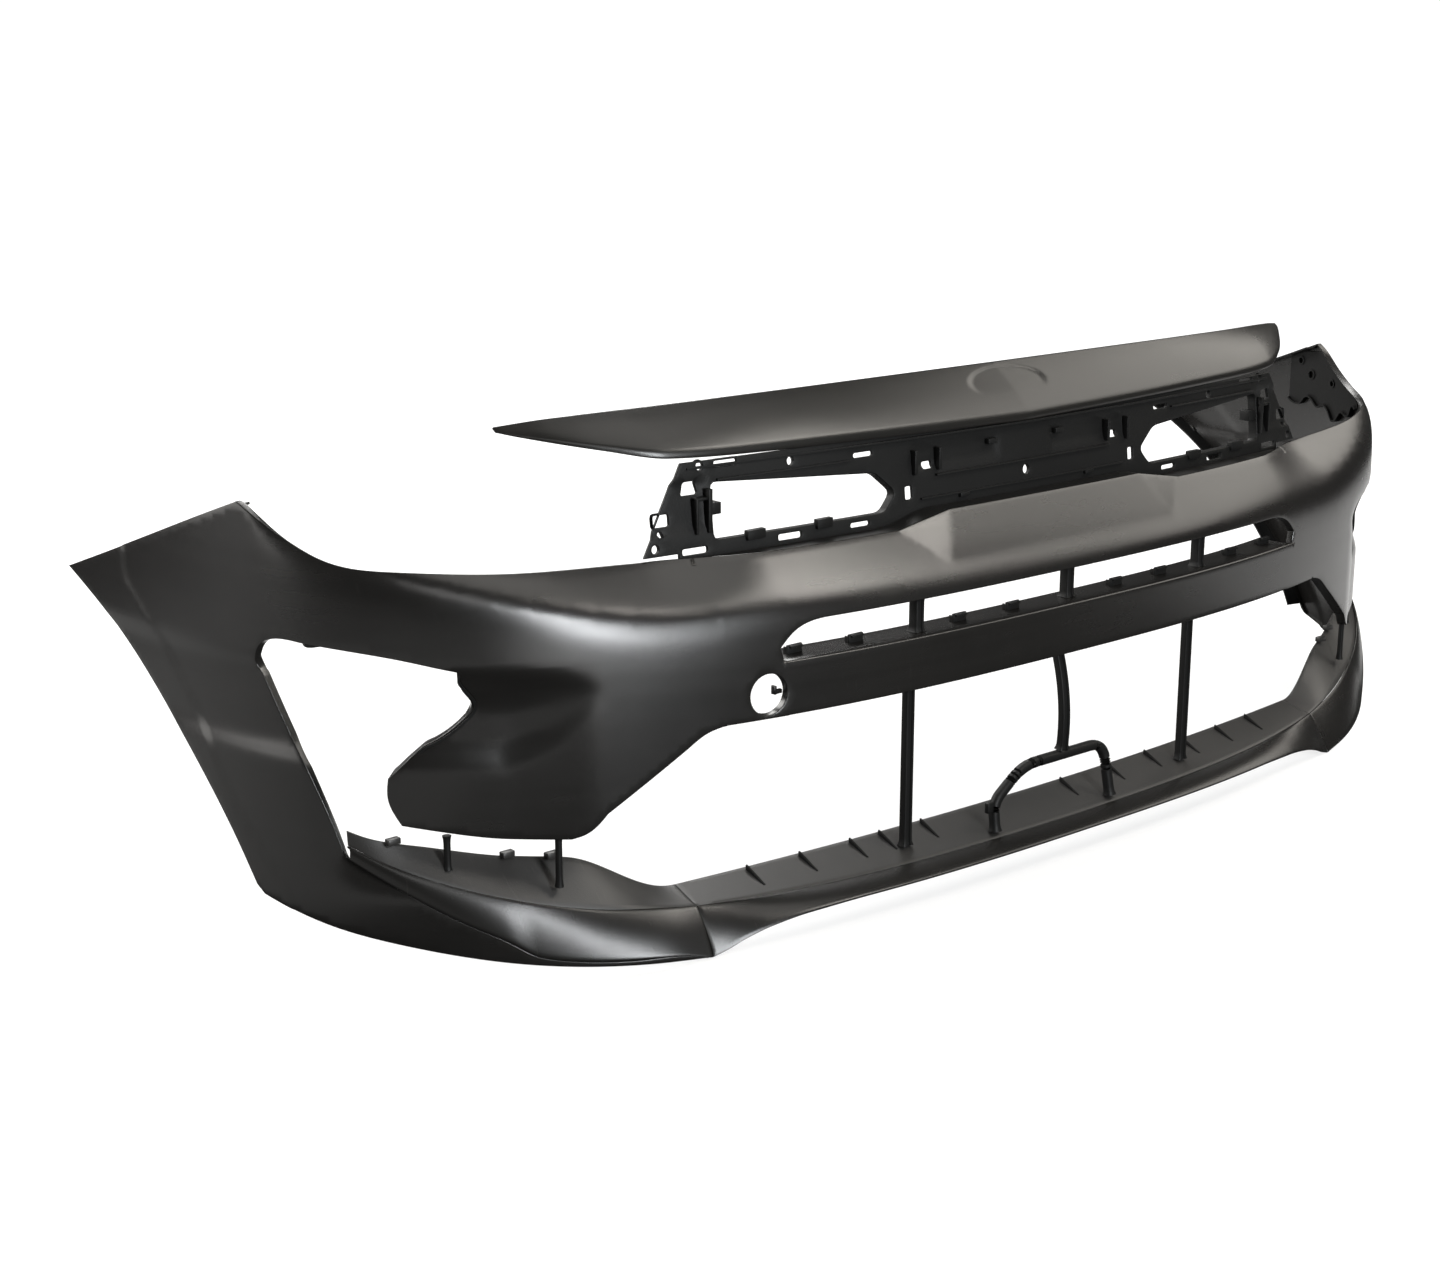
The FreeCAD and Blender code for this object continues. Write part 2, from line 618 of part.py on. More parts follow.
# ---------------------------------------------------------------- grille frame
frame_top_half = corner_s - 376.0
frame_low_half = corner_s - 319.0
frame_low_z = band_z - 7.0
frame_top_z = frame_z - 3.0
frame_depth = 4.0


def rise(share):
    """Height above the band, as a share of the frame's own height."""
    return band_z + share * frame_height


def frame_y(x, z):
    """Front of the frame, swept back towards its ends and leaning back."""
    lean_back = frame_lean * (z - frame_low_z)
    return nose_y + frame_setback + frame_sweep * (x / frame_low_half) ** 2 + lean_back


frame_rows = [[V(x, frame_y(x, z), z) for z in spaced(frame_low_z, frame_top_z, 5)]
              for x in spaced(-frame_low_half, frame_low_half, 21)]
frame = slab(frame_rows, thicken(frame_rows, frame_depth))
for side in (-1, 1):
    corner = [V(side * frame_top_half, nose_y, frame_top_z + 1.0),
              V(side * frame_low_half, nose_y, frame_low_z),
              V(side * (frame_low_half + 60.0), nose_y, frame_low_z),
              V(side * (frame_low_half + 60.0), nose_y, frame_top_z + 1.0)]
    edges = [Part.makeLine(a, b) for a, b in zip(corner, corner[1:] + corner[:1])]
    frame = frame.cut(Part.Face(Part.Wire(edges)).extrude(V(0, 300.0, 0)))
    # the wing's upper edge passes below this corner
    room = V(min(side * seam_s, side * (seam_s + 120.0)), nose_y, frame_low_z - 5.0)
    frame = frame.cut(Part.makeBox(120.0, 300.0, band_z + 3.5 - room.z, room))


def band_top(s):
    """Upper edge of the band along the middle of the face."""
    return band_z + band_crown * (1.0 - ramp(abs(s), notch_in, notch_out))


sill_rows = []
for s in spaced(-seam_s + 6.0, seam_s - 6.0, 61):
    z = band_top(s) - 3.0
    front = skin(s, z) + V(0, wall * 1.5 + joint_gap, 0)
    rear = V(front.x, frame_y(front.x, z) + 1.0, z)
    sill_rows.append([front + (rear - front) * t for t in spaced(0, 1, 3)])
sill = slab(sill_rows, [[p - V(0, 0, rib_wall) for p in row] for row in sill_rows])
frame = frame.fuse(sill)
head_rows = []
for x in spaced(-frame_top_half + 6.0, frame_top_half - 6.0, 31):
    edge_y = nose_y + panel_setback + panel_low_y(abs(x)) + wall + 2.0
    edge_y = min(edge_y, frame_y(x, frame_top_z) - 2.0)
    head_rows.append([V(x, y, frame_top_z - 5.0)
                      for y in spaced(edge_y, frame_y(x, frame_top_z) + 1.0, 3)])
head = slab(head_rows, [[p - V(0, 0, rib_wall) for p in row] for row in head_rows])
frame = frame.fuse(head)

cut_y0, cut_y1 = nose_y + frame_setback - 4.0, nose_y + frame_setback + frame_sweep + 30.0
grille_inner = 0.421 * frame_top_half
grille_outer = frame_top_half - 33.0
grille_low = band_z + 12.0
for side in (-1, 1):
    opening = [(side * grille_outer, rise(0.734)), (side * 0.594 * frame_top_half, rise(0.617)),
               (side * 0.479 * frame_top_half, rise(0.574)), (side * grille_inner, rise(0.33)),
               (side * (grille_inner + 17.0), grille_low), (side * grille_outer, grille_low)]
    frame = frame.cut(punch(opening, 7.0, cut_y0, cut_y1))
    for x, z, w, h in [(frame_top_half - 53.0, rise(0.915), 28.0, 6.0),
                       (0.511 * frame_top_half, rise(0.798), 26.0, 5.0),
                       (frame_top_half - 9.0, rise(0.691), 18.0, 13.0),
                       (frame_low_half - 31.0, rise(0.394), 18.0, 12.0),
                       (frame_low_half - 66.0, band_z + 4.0, 30.0, 6.5),
                       (0.73 * frame_top_half, band_z + 4.0, 30.0, 6.5),
                       (0.532 * frame_top_half, band_z + 4.0, 26.0, 5.0),
                       (0.383 * frame_top_half, rise(0.298), 10.0, 14.0),
                       (0.319 * frame_top_half, rise(0.574), 14.0, 7.0)]:
        frame = frame.cut(bar_punch(side * x, z, w, h, cut_y0, cut_y1))
    for x, z, radius in ((frame_low_half - 28.0, rise(0.255), 3.0),
                         (0.715 * frame_top_half, rise(0.84), 4.5)):
        frame = frame.cut(pin(side * x, cut_y0, z, (0, 1, 0), radius, 80.0))
screw_line_z = rise(0.915)
screw_line_x = frame_top_half - 22.0
frame_screw_r = 4.5
for x in (-screw_line_x, screw_line_x):
    frame = frame.cut(pin(x, cut_y0, screw_line_z, (0, 1, 0), frame_screw_r, 80.0))
lower_screw_x = frame_low_half - 20.0
lower_screw_z = band_z + 11.0
for x in (-lower_screw_x, lower_screw_x):
    frame = frame.cut(pin(x, cut_y0, lower_screw_z, (0, 1, 0), frame_screw_r, 80.0))
frame = frame.cut(pin(0, cut_y0, rise(0.34), (0, 1, 0), 5.5, 80.0))
save("grille_frame", frame)


# ---------------------------------------------------------------- flanges behind the wings
def edge_flange(points, widths, thickness, direction=None):
    """Strip standing inward from the inner face of the skin along an edge."""
    rows = []
    for (s, z), width in zip(points, widths):
        start = at(s, z, 0) if direction is None else skin(s, z)
        nx, ny = plan_at(s)[2:]
        inward = V(-nx, -ny, 0) if direction is None else V(direction)
        first = start + inward * (wall + joint_gap)
        rows.append([first + inward * width * t for t in spaced(0, 1, 3)])
    return slab(rows, thicken(rows, thickness))


def along(points, count):
    """Even steps along a smooth run of (s, z) points."""
    curve = Part.BSplineCurve()
    curve.interpolate([V(s, z, 0) for s, z in points])
    steps = [curve.value(curve.parameterAtDistance(d, curve.FirstParameter))
             for d in spaced(0.5, curve.length() - 0.5, count)]
    return [(p.x, p.y) for p in steps]


fender_steps = along(fender_edge, 21)[1:-1]
fender_flange = edge_flange([(s, z - 1.0) for s, z in fender_steps], [20.0] * 19, rib_wall)
for s, z in fender_steps[2:-2:3]:
    x, y = plan_at(s)[:2]
    fender_flange = fender_flange.cut(Part.makeBox(7.0, 24.0, 60.0, V(x - 19.0, y - 12.0, z - 30.0)))
save("fender_flange_left", fender_flange)
save("fender_flange_right", mirrored(fender_flange))

arch_width = 24.0
arch_steps = along(arch_edge, 27)[1:-1]
arch_flange = edge_flange(arch_steps, [arch_width] * 25, rib_wall)
arch_screws = [arch_steps[i] for i in (3, 9, 15, 21)]
for s, z in arch_screws:
    x, y, nx, ny = plan_at(s)
    middle = wall + joint_gap + arch_width / 2.0
    i = arch_steps.index((s, z))
    ahead, behind = at(*arch_steps[i + 1]), at(*arch_steps[i - 1])
    axis = (ahead - behind).cross(V(-nx, -ny, 0))
    axis.normalize()
    centre = V(x - nx * middle, y - ny * middle, z)
    arch_flange = arch_flange.cut(Part.makeCylinder(screw_r, 20.0, centre - axis * 10.0, axis))
save("arch_flange_left", arch_flange)
save("arch_flange_right", mirrored(arch_flange))

seat_rows = []
edge_height = profile(headlamp_edge + fender_edge[1:])
for s in spaced(corner_s + 5.0, vertex_s + 50.0, 17):
    high = edge_height(s) - 6.0 - 5.0 * ramp(s, vertex_s - 20.0, vertex_s + 5.0)
    low = high - 20.0 - 55.0 * ramp(s, corner_s + 5.0, corner_s + 95.0)
    nx, ny = plan_at(s)[2:]
    rows = [skin(s, z) - V(nx, ny, 0) * (wall + 2.0 * joint_gap) for z in spaced(low, high, 6)]
    seat_rows.append(rows)
seat = slab(seat_rows, thicken(seat_rows, rib_wall))
seat_holes = ((vertex_s + 30.0, 22.0, 4.0), (vertex_s + 8.0, 44.0, 5.0),
              (vertex_s - 40.0, 40.0, 4.0))
for s, drop, size in seat_holes:
    spot = skin(s, edge_height(s) - drop)
    nx, ny = plan_at(s)[2:]
    seat = seat.cut(Part.makeCylinder(size, 60.0, spot + V(nx, ny, 0) * 30.0, V(-nx, -ny, 0)))
save("headlamp_bracket_left", seat)
save("headlamp_bracket_right", mirrored(seat))

bezel_width = 20.0
bezel_steps = []
for run in (fog_brow, fog_inner, claw, claw_back, claw_tip):
    bezel_steps += along(run, 7)
bezel_rows = []
for s, z in bezel_steps:
    nx, ny = plan_at(s)[2:]
    first = skin(s, z) - V(nx, ny, 0) * (wall + 3.0 * joint_gap)
    bezel_rows.append([first - V(nx, ny, 0) * bezel_width * t for t in spaced(0, 1, 3)])
bezel = slab(bezel_rows, thicken(bezel_rows, rib_wall))
save("fog_bezel_left", bezel)
save("fog_bezel_right", mirrored(bezel))


# ---------------------------------------------------------------- small pieces
clip_s = [share * slot_tip for share in (-0.92, -0.737, -0.395, -0.203,
                                         0.203, 0.395, 0.737, 0.92)]
clips = []
for s in clip_s:
    base = at(s, ledge_z, 26.0)
    clips.append(Part.makeBox(20.0, 3.0, 9.0, V(base.x - 10.0, base.y, ledge_z)))
save("ledge_clips", Part.makeCompound(clips))

rib_x = [share * step_s for share in (-0.822, -0.689, -0.556, -0.476, -0.358, 0.078,
                                      0.241, 0.378, 0.524, 0.661, 0.789)]
ribs = []
rib_length = 28.0
rib_rise = 5.0
for x in rib_x:
    rear_y = shelf_rear(x).y - 4.0
    front_y = rear_y - rib_length
    low = [V(x, front_y, shelf_height(x, front_y) + joint_gap),
           V(x, rear_y, shelf_height(x, rear_y) + joint_gap)]
    outline = Part.makePolygon([low[0], low[1], low[1] + V(0, 0, rib_rise),
                                low[0] + V(0, 0, 1.0), low[0]])
    ribs.append(Part.Face(outline).extrude(V(rib_wall, 0, 0)))
save("shelf_ribs", Part.makeCompound(ribs))


# ---------------------------------------------------------------- place and write
os.makedirs("parts", exist_ok=True)
boxes = [shape.optimalBoundingBox() for shape in nodes.values()]
lowest = min(box.ZMin for box in boxes)
front = min(box.YMin for box in boxes)
rear = max(box.YMax for box in boxes)
place = V(0, -(front + rear) / 2.0, -lowest)
print("shift to the row's origin", place)
for name, shape in nodes.items():
    shape.translate(place)
    shape.exportStep("parts/%s.step" % name)
    box = shape.optimalBoundingBox()
    print("%-24s %2d solid(s) valid=%s %.0f cm3 x %.0f..%.0f y %.0f..%.0f z %.0f..%.0f" % (
        name, len(shape.Solids), shape.isValid(), shape.Volume / 1000.0,
        box.XMin, box.XMax, box.YMin, box.YMax, box.ZMin, box.ZMax))
print(len(nodes), "nodes")
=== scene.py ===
# %% [markdown]
# This lesson dresses a front bumper cover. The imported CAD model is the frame: it fixes every
# size and place. Blender only adds what a moulder and a toolmaker would add to the same part,
# such as rolled edges, folds and the satin skin of unpainted polypropylene.

# %% Load the frame
import json
import math
import bmesh
import bpy
import numpy as np
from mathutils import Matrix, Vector
from mathutils.geometry import delaunay_2d_cdt
from mathutils.kdtree import KDTree


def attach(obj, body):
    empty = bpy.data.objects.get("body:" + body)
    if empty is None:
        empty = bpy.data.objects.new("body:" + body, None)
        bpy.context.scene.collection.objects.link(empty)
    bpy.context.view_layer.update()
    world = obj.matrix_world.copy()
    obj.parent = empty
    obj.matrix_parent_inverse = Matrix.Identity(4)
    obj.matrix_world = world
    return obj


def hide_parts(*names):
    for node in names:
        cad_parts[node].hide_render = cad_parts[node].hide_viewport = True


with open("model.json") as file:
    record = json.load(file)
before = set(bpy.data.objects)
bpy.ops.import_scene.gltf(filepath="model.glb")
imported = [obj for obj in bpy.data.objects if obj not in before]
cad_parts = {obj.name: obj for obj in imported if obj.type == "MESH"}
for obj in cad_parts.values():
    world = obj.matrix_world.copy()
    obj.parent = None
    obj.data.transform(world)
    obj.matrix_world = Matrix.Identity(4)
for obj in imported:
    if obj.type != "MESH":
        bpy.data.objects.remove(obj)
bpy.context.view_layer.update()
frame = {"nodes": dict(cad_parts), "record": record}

# %% [markdown]
# Sheet parts of a car are drawn from a plan curve, the line the nose follows seen from above.
# A point on the skin is then an arc length s along that curve and a height z. The same curve
# is used here, so the dressed skin lies exactly on the frame. Lengths are in millimetres until
# a mesh is made.

# %% Plan curve
HALF_WIDTH, SIDE, WALL = 880.0, 656.0, 3.0
NOSE_Y = -298.0
PLACE = np.array([0.0, -1.881, 0.520])
GAP = 0.3


def spline(points, start=None, end=None, fine=60):
    """Dense smooth curve through points, with optional directions at its two ends."""
    p = np.array(points, float)
    n = len(p)
    if n == 2:
        t = np.linspace(0, 1, fine)[:, None]
        return p[0] * (1 - t) + p[1] * t
    h = np.linalg.norm(np.diff(p, axis=0), axis=1)
    a, b = np.zeros((n, n)), np.zeros((n, p.shape[1]))
    for i in range(1, n - 1):
        a[i, i - 1:i + 2] = h[i], 2 * (h[i - 1] + h[i]), h[i - 1]
        b[i] = 3 * (h[i] * (p[i] - p[i - 1]) / h[i - 1] + h[i - 1] * (p[i + 1] - p[i]) / h[i])
    for i, j, k, way in ((0, 1, 0, start), (n - 1, n - 2, n - 2, end)):
        if way is None:
            a[i, i], a[i, j], b[i] = 2, 1, 3 * abs(i - j) * (p[max(i, j)] - p[min(i, j)]) / h[k]
        else:
            a[i, i], b[i] = 1, np.array(way) / np.linalg.norm(way)
    m = np.linalg.solve(a, b)
    out = []
    for i in range(n - 1):
        t = np.linspace(0, 1, fine, endpoint=i == n - 2)[:, None]
        out.append(p[i] * (1 + 2 * t) * (1 - t) ** 2 + p[i + 1] * (3 - 2 * t) * t * t
                   + h[i] * (m[i] * t * (1 - t) ** 2 - m[i + 1] * t * t * (1 - t)))
    return np.vstack(out)


plan_points = [(0, 0), (HALF_WIDTH - 580, 11), (HALF_WIDTH - 280, 72), (HALF_WIDTH - 160, 126),
               (HALF_WIDTH - 80, 196), (HALF_WIDTH - 33, 296), (HALF_WIDTH - 12, 436),
               (HALF_WIDTH, SIDE)]
plan = spline(plan_points, (1, 0), (0.05, 1), 400) + (0, NOSE_Y)
plan_s = np.concatenate([[0], np.cumsum(np.linalg.norm(np.diff(plan, axis=0), axis=1))])
plan_way = np.gradient(plan, plan_s, axis=0)
CORNER = float(np.interp(HALF_WIDTH - 80, plan[:, 0], plan_s))
PLAN_END = float(plan_s[-1])
print("corner at", round(CORNER, 1), "end at", round(PLAN_END, 1))

# %% [markdown]
# The skin itself: a shoulder that leans back above a crease, a cheek drawn in beside the
# intake, and a lip that stands proud at the bottom. Each is a smooth ramp of s and z, so the
# folds are where they are on the frame.

# %% Skin of the cover
SHELF_Z, BAR_Z, LEDGE_Z, SLOT_Z, BAND_Z = 56.0, 228.0, 284.0, 322.0, 385.0
FRAME_Z, PANEL_Z, CREASE_Z, CREST_Z = 479.0, 530.0, 329.0, 37.0
STEP, SEAM, LIP_PROUD = CORNER - 335, CORNER - 366, 26.0
CHEEK_DEPTH, POCKET_DEPTH, FLARE_PROUD = 14, 7.0, 2.2


def ramp(x, a, b):
    """0 before a, 1 after b, smooth between."""
    t = np.clip((np.asarray(x, float) - a) / (b - a), 0, 1)
    return t * t * (3 - 2 * t)


def hinge(x, r):
    """0 for x well below zero, x well above it, rounded over a length r between."""
    return (x + np.sqrt(x * x + r * r)) / 2


def profile(points):
    """Smooth curve through (position, value) points that never overshoots them."""
    x, y = np.array(points, float).T
    slope = np.diff(y) / np.diff(x)
    both = slope[:-1] * slope[1:]
    mid = np.where(both > 0, 2 * both / (slope[:-1] + slope[1:] + (both <= 0)), 0)
    m = np.concatenate([slope[:1], mid, slope[-1:]])

    def value(q):
        q = np.clip(np.asarray(q, float), x[0], x[-1])
        i = np.clip(np.searchsorted(x, q) - 1, 0, len(x) - 2)
        h = x[i + 1] - x[i]
        t = (q - x[i]) / h
        return ((y[i] * (1 + 2 * t) + h * t * m[i]) * (1 - t) ** 2
                + (y[i + 1] * (3 - 2 * t) - h * (1 - t) * m[i + 1]) * t * t)
    return value


def at(s, z, inward=0.0):
    """Points at arc length s and height z, moved inward from the plan curve."""
    a, side = np.abs(s), np.where(np.asarray(s) < 0, -1.0, 1.0)
    x, y = (np.interp(a, plan_s, plan[:, i]) for i in (0, 1))
    nx = np.interp(a, plan_s, plan_way[:, 1])
    return np.stack([side * (x - 0.4 * nx * inward), y + 0.95 * inward, z + 0 * x], -1)


def lip_stand(s):
    """How far the lip stands forward of the plan curve."""
    return LIP_PROUD * (1 - ramp(np.abs(s), STEP + 40, CORNER + 5))


def crease_at(s):
    """Height of the crease under the shoulder."""
    a = np.abs(s)
    return CREASE_Z + 0.03 * np.maximum(a - 200, 0) + 0.21 * hinge(a - CORNER + 285, 60)


def lean(s, z):
    """How far the shoulder leans back above the crease."""
    a = np.abs(s)
    slope = 1 + 0.5 * ramp(a, CORNER - 445, CORNER - 305)
    return slope * (1 - ramp(a, CORNER + 15, CORNER + 120)) * hinge(z - crease_at(s), 16)


def hollow(s, z):
    """How far the cheek is drawn in beside the intake."""
    a = np.abs(s)
    wide = ramp(a, CORNER - 240, CORNER - 150) * (1 - ramp(a, CORNER - 20, CORNER + 60))
    return CHEEK_DEPTH * wide * (1 - ramp(z, SLOT_Z - 62, SLOT_Z - 14))


def skin(s, z):
    """Outer face of the cover, without the folds that single parts add."""
    low = 1 - ramp(z, CREST_Z + 44, CREST_Z + 94)
    return at(s, z, lean(s, z) + hollow(s, z) * (1 - low) - lip_stand(s) * low)


def side_normal(s):
    """Level unit normal of the plan curve, pointing out of the car."""
    a = np.abs(s)
    nx, ny = np.interp(a, plan_s, plan_way[:, 1]), -np.interp(a, plan_s, plan_way[:, 0])
    return np.stack([nx, ny, 0 * nx], -1)


print("skin at the nose", skin(np.zeros(1), BAR_Z)[0].round(1))
print("skin at the corner", skin(np.array([CORNER]), BAR_Z)[0].round(1))

# %% [markdown]
# A moulded sheet has three things that a flat cut-out lacks: a wall of real thickness, an edge
# rounded by the tool, and here and there an edge folded back for stiffness. One helper makes
# all three. It triangulates the outline in (u, v), lays the front on the given surface, puts
# the back one wall behind it, and joins the two by rings of points that run round the edge.

# %% Outlines
def resample(points, step):
    """Even steps of about this length along a dense line."""
    p = np.array(points, float)
    d = np.concatenate([[0], np.cumsum(np.linalg.norm(np.diff(p, axis=0), axis=1))])
    q = np.linspace(0, d[-1], max(2, int(round(d[-1] / step)) + 1))
    return np.stack([np.interp(q, d, p[:, i]) for i in range(p.shape[1])], -1)


def anticlockwise(loop):
    """The loop, turned round if it runs clockwise."""
    after = np.roll(loop[:, :2], -1, 0)
    area = np.sum(loop[:, 0] * after[:, 1] - loop[:, 1] * after[:, 0])
    return loop if area > 0 else loop[::-1]


def outline_of(runs, step=4.0):
    """Closed outline from runs (points, edge radius, fold depth); rows are u, v, edge, fold."""
    rows = []
    for points, edge, fold in runs:
        line = resample(spline(points), step)[:-1]
        rows.append(np.column_stack([line, np.full(len(line), edge), np.full(len(line), fold)]))
    return anticlockwise(np.vstack(rows))


def closed(points, finish):
    """Runs of the straight sides of a polygon; finish is (edge, fold), for all or for each."""
    finish = finish if isinstance(finish, list) else [finish] * len(points)
    return [([a, b], *f) for a, b, f in zip(points, points[1:] + points[:1], finish)]


def inward(loop):
    """Unit normals of an anticlockwise outline, to its left."""
    way = np.roll(loop[:, :2], -1, 0) - np.roll(loop[:, :2], 1, 0)
    way /= np.linalg.norm(way, axis=1)[:, None] + 1e-9
    return np.stack([-way[:, 1], way[:, 0]], -1)


def contains(loop, q):
    """Which of the points q lie inside the loop."""
    inside = np.zeros(len(q), bool)
    a, b = loop, np.roll(loop, -1, 0)
    for (x0, y0), (x1, y1) in zip(a, b):
        if y0 != y1:
            hit = (y0 > q[:, 1]) != (y1 > q[:, 1])
            inside ^= hit & (q[:, 0] < (x1 - x0) * (q[:, 1] - y0) / (y1 - y0) + x0)
    return inside


square = outline_of(closed([(0, 0), (40, 0), (40, 40), (0, 40)], (1, 0)))
print("a 40 mm square has", len(square), "outline points; its middle is inside:",
      bool(contains(square[:, :2], np.array([[20.0, 20.0]]))[0]))

# %% [markdown]
# A wall has a front face, a back face and a rim that joins them ring by ring. The first rings
# turn a quarter circle and round the edge; the last ones run down the fold and tuck under it.
# The front is a triangulation with even spacing, and it keeps the outline and crease lines.

# %% Thick sheet from an outline
TUCK = 2.2
QUARTER_TURN = (0.52, 1.05, 1.571)


def place_on(surface):
    """Turns a surface of (u, v) into a function of (u, v, depth behind the surface)."""
    def put(u, v, depth):
        e = 0.5
        du = surface(u + e, v) - surface(u - e, v)
        dv = surface(u, v + e) - surface(u, v - e)
        n = np.cross(du, dv)
        n /= np.linalg.norm(n, axis=-1)[:, None]
        return surface(u, v) - n * np.asarray(depth)[..., None]
    return put


def within(loops, q):
    """Which points q lie inside the first loop and outside all the others."""
    keep = contains(loops[0], q)
    for hole in loops[1:]:
        keep &= ~contains(hole, q)
    return keep


def even_grid(outline, fronts, creases, spacing):
    """Staggered grid points inside the outline, clear of its edges, holes and creases."""
    low, high = outline[:, :2].min(0), outline[:, :2].max(0)
    gu, gv = np.meshgrid(np.arange(low[0], high[0], spacing), np.arange(low[1], high[1], spacing))
    gu[1::2] += spacing / 2
    grid = np.stack([gu.ravel(), gv.ravel()], -1)
    fixed = np.vstack(fronts + creases)
    tree = KDTree(len(fixed))
    for i, p in enumerate(fixed):
        tree.insert((p[0], p[1], 0), i)
    tree.balance()
    return np.array([g for g in grid[within(fronts, grid)]
                     if tree.find((g[0], g[1], 0))[2] > spacing * 0.55])


def triangulate(fronts, creases, grid):
    """Points (u, v), the triangles between them, and the new index of every given point."""
    edges, start = [], 0
    for loop in fronts:
        edges += [(start + i, start + (i + 1) % len(loop)) for i in range(len(loop))]
        start += len(loop)
    for line in creases:
        edges += [(start + i, start + i + 1) for i in range(len(line) - 1)]
        start += len(line)
    points = np.vstack(fronts + creases + ([grid] if len(grid) else []))
    verts, _, tris, origin, _, _ = delaunay_2d_cdt([Vector(p) for p in points], edges, [], 0, 1e-4)
    uv = np.array([v[:] for v in verts])
    where = {old: i for i, olds in enumerate(origin) for old in olds}
    keep = within(fronts, np.array([uv[list(t)].mean(0) for t in tris]))
    return uv, [tuple(t) for t, k in zip(tris, keep) if k], where


def sheet(surface, outline, holes=(), spacing=7.0, wall=WALL, lines=()):
    """Points and faces of a thick sheet with rounded and folded edges."""
    put = place_on(surface)
    loops = [outline] + [h[::-1] for h in holes]
    normals = [inward(loop) for loop in loops]
    fronts = [loop[:, :2] + n * loop[:, 2:3] for loop, n in zip(loops, normals)]
    creases = [resample(line, spacing * 0.6) for line in lines]
    grid = even_grid(outline, fronts, creases, spacing)
    uv, tris, where = triangulate(fronts, creases, grid)
    back_uv, count, start, ids = uv.copy(), len(uv), 0, []
    for loop, n in zip(loops, normals):
        mine = [where[start + i] for i in range(len(loop))]
        back_uv[mine] = loop[:, :2] + n * np.where(loop[:, 2:3] > 0, TUCK, 0)
        ids.append(mine)
        start += len(loop)
    rows = [put(uv[:, 0], uv[:, 1], np.zeros(count)),
            put(back_uv[:, 0], back_uv[:, 1], np.full(count, wall))]
    faces = tris + [tuple(reversed([i + count for i in t])) for t in tris]
    total = 2 * count
    for loop, n, mine in zip(loops, normals, ids):
        r, deep = loop[:, 2], wall + loop[:, 3]
        rings = [(r * (1 - math.sin(w)), r * (1 - math.cos(w))) for w in QUARTER_TURN]
        rings += [(0 * r, deep), (np.where(r > 0, TUCK, 0), deep)]
        last = mine
        for inset, depth in rings:
            q = loop[:, :2] + n * inset[:, None]
            rows.append(put(q[:, 0], q[:, 1], depth))
            new = list(range(total, total + len(q)))
            total += len(q)
            faces += [(last[i], new[i], new[(i + 1) % len(q)], last[(i + 1) % len(q)])
                      for i in range(len(q))]
            last = new
        new = [i + count for i in mine]
        faces += [(last[i], new[i], new[(i + 1) % len(new)], last[(i + 1) % len(new)])
                  for i in range(len(new))]
    return np.vstack(rows), faces


trial = sheet(lambda u, v: np.stack([u, 0 * u, v], -1), square)
print("as a thick sheet the square has", len(trial[0]), "points and", len(trial[1]), "faces")

# %% [markdown]
# Every shell ends the same way. Its points become a mesh in metres, doubles are welded, and
# edges sharper than the given angle stay crisp. The object then rides the root body, takes the
# place of its CAD node and gets its material. Most parts come as a left and right pair.

# %% Mesh to piece
def finish_mesh(name, points, faces, sharp):
    """Blender mesh in metres from points in millimetres before the shift to the frame."""
    mesh = bpy.data.meshes.new(name)
    mesh.from_pydata(((np.asarray(points) + PLACE) * 0.001).tolist(), [], faces)
    work = bmesh.new()
    work.from_mesh(mesh)
    bmesh.ops.remove_doubles(work, verts=work.verts, dist=2e-5)
    bmesh.ops.dissolve_degenerate(work, edges=work.edges, dist=1e-5)
    bmesh.ops.recalc_face_normals(work, faces=work.faces)
    work.to_mesh(mesh)
    work.free()
    mesh.shade_smooth()
    mesh.set_sharp_from_angle(angle=math.radians(sharp))
    return mesh


def add_piece(name, shell, nodes, material, sharp=38):
    """Piece made of a shell (points, faces), in place of CAD nodes."""
    mesh = finish_mesh(name, shell[0], shell[1], sharp)
    obj = bpy.data.objects.new(name, mesh)
    bpy.context.scene.collection.objects.link(obj)
    mesh.materials.append(material)
    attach(obj, "root")
    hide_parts(*nodes)
    print(name, len(mesh.polygons), "faces")


def flip(shell):
    """The same shell on the other side of the car."""
    return np.asarray(shell[0]) * (-1, 1, 1), shell[1]


def add_pair(name, shell, node, material):
    """A left piece and its mirror image on the right."""
    for side, half in (("left", shell), ("right", flip(shell))):
        add_piece(name + side, half, [node + side], material)


print("mirrored x", flip(([(1.0, 2.0, 3.0)], []))[0][0][0])

# %% [markdown]
# Unpainted polypropylene is charcoal, slightly warm, and satin where the tool was polished. A
# fine spark-eroded grain breaks up its reflections, flow lines from the gates run along the
# part, and handling leaves faint pale scuffs. The same recipe, with a darker colour and a
# coarser grain, makes the black pieces that the finished car hides.

# %% Shader nodes
def new_node(tree, kind, **values):
    """Shader node with inputs or properties set by name."""
    made = tree.nodes.new("ShaderNode" + kind)
    for key, value in values.items():
        if key in made.inputs:
            made.inputs[key].default_value = value
        else:
            setattr(made, key, value)
    return made


def wire(tree, *links):
    """Connect nodes; each link is (from node, output, to node, input)."""
    for source, output, target, entry in links:
        tree.links.new(source.outputs[output], target.inputs[entry])


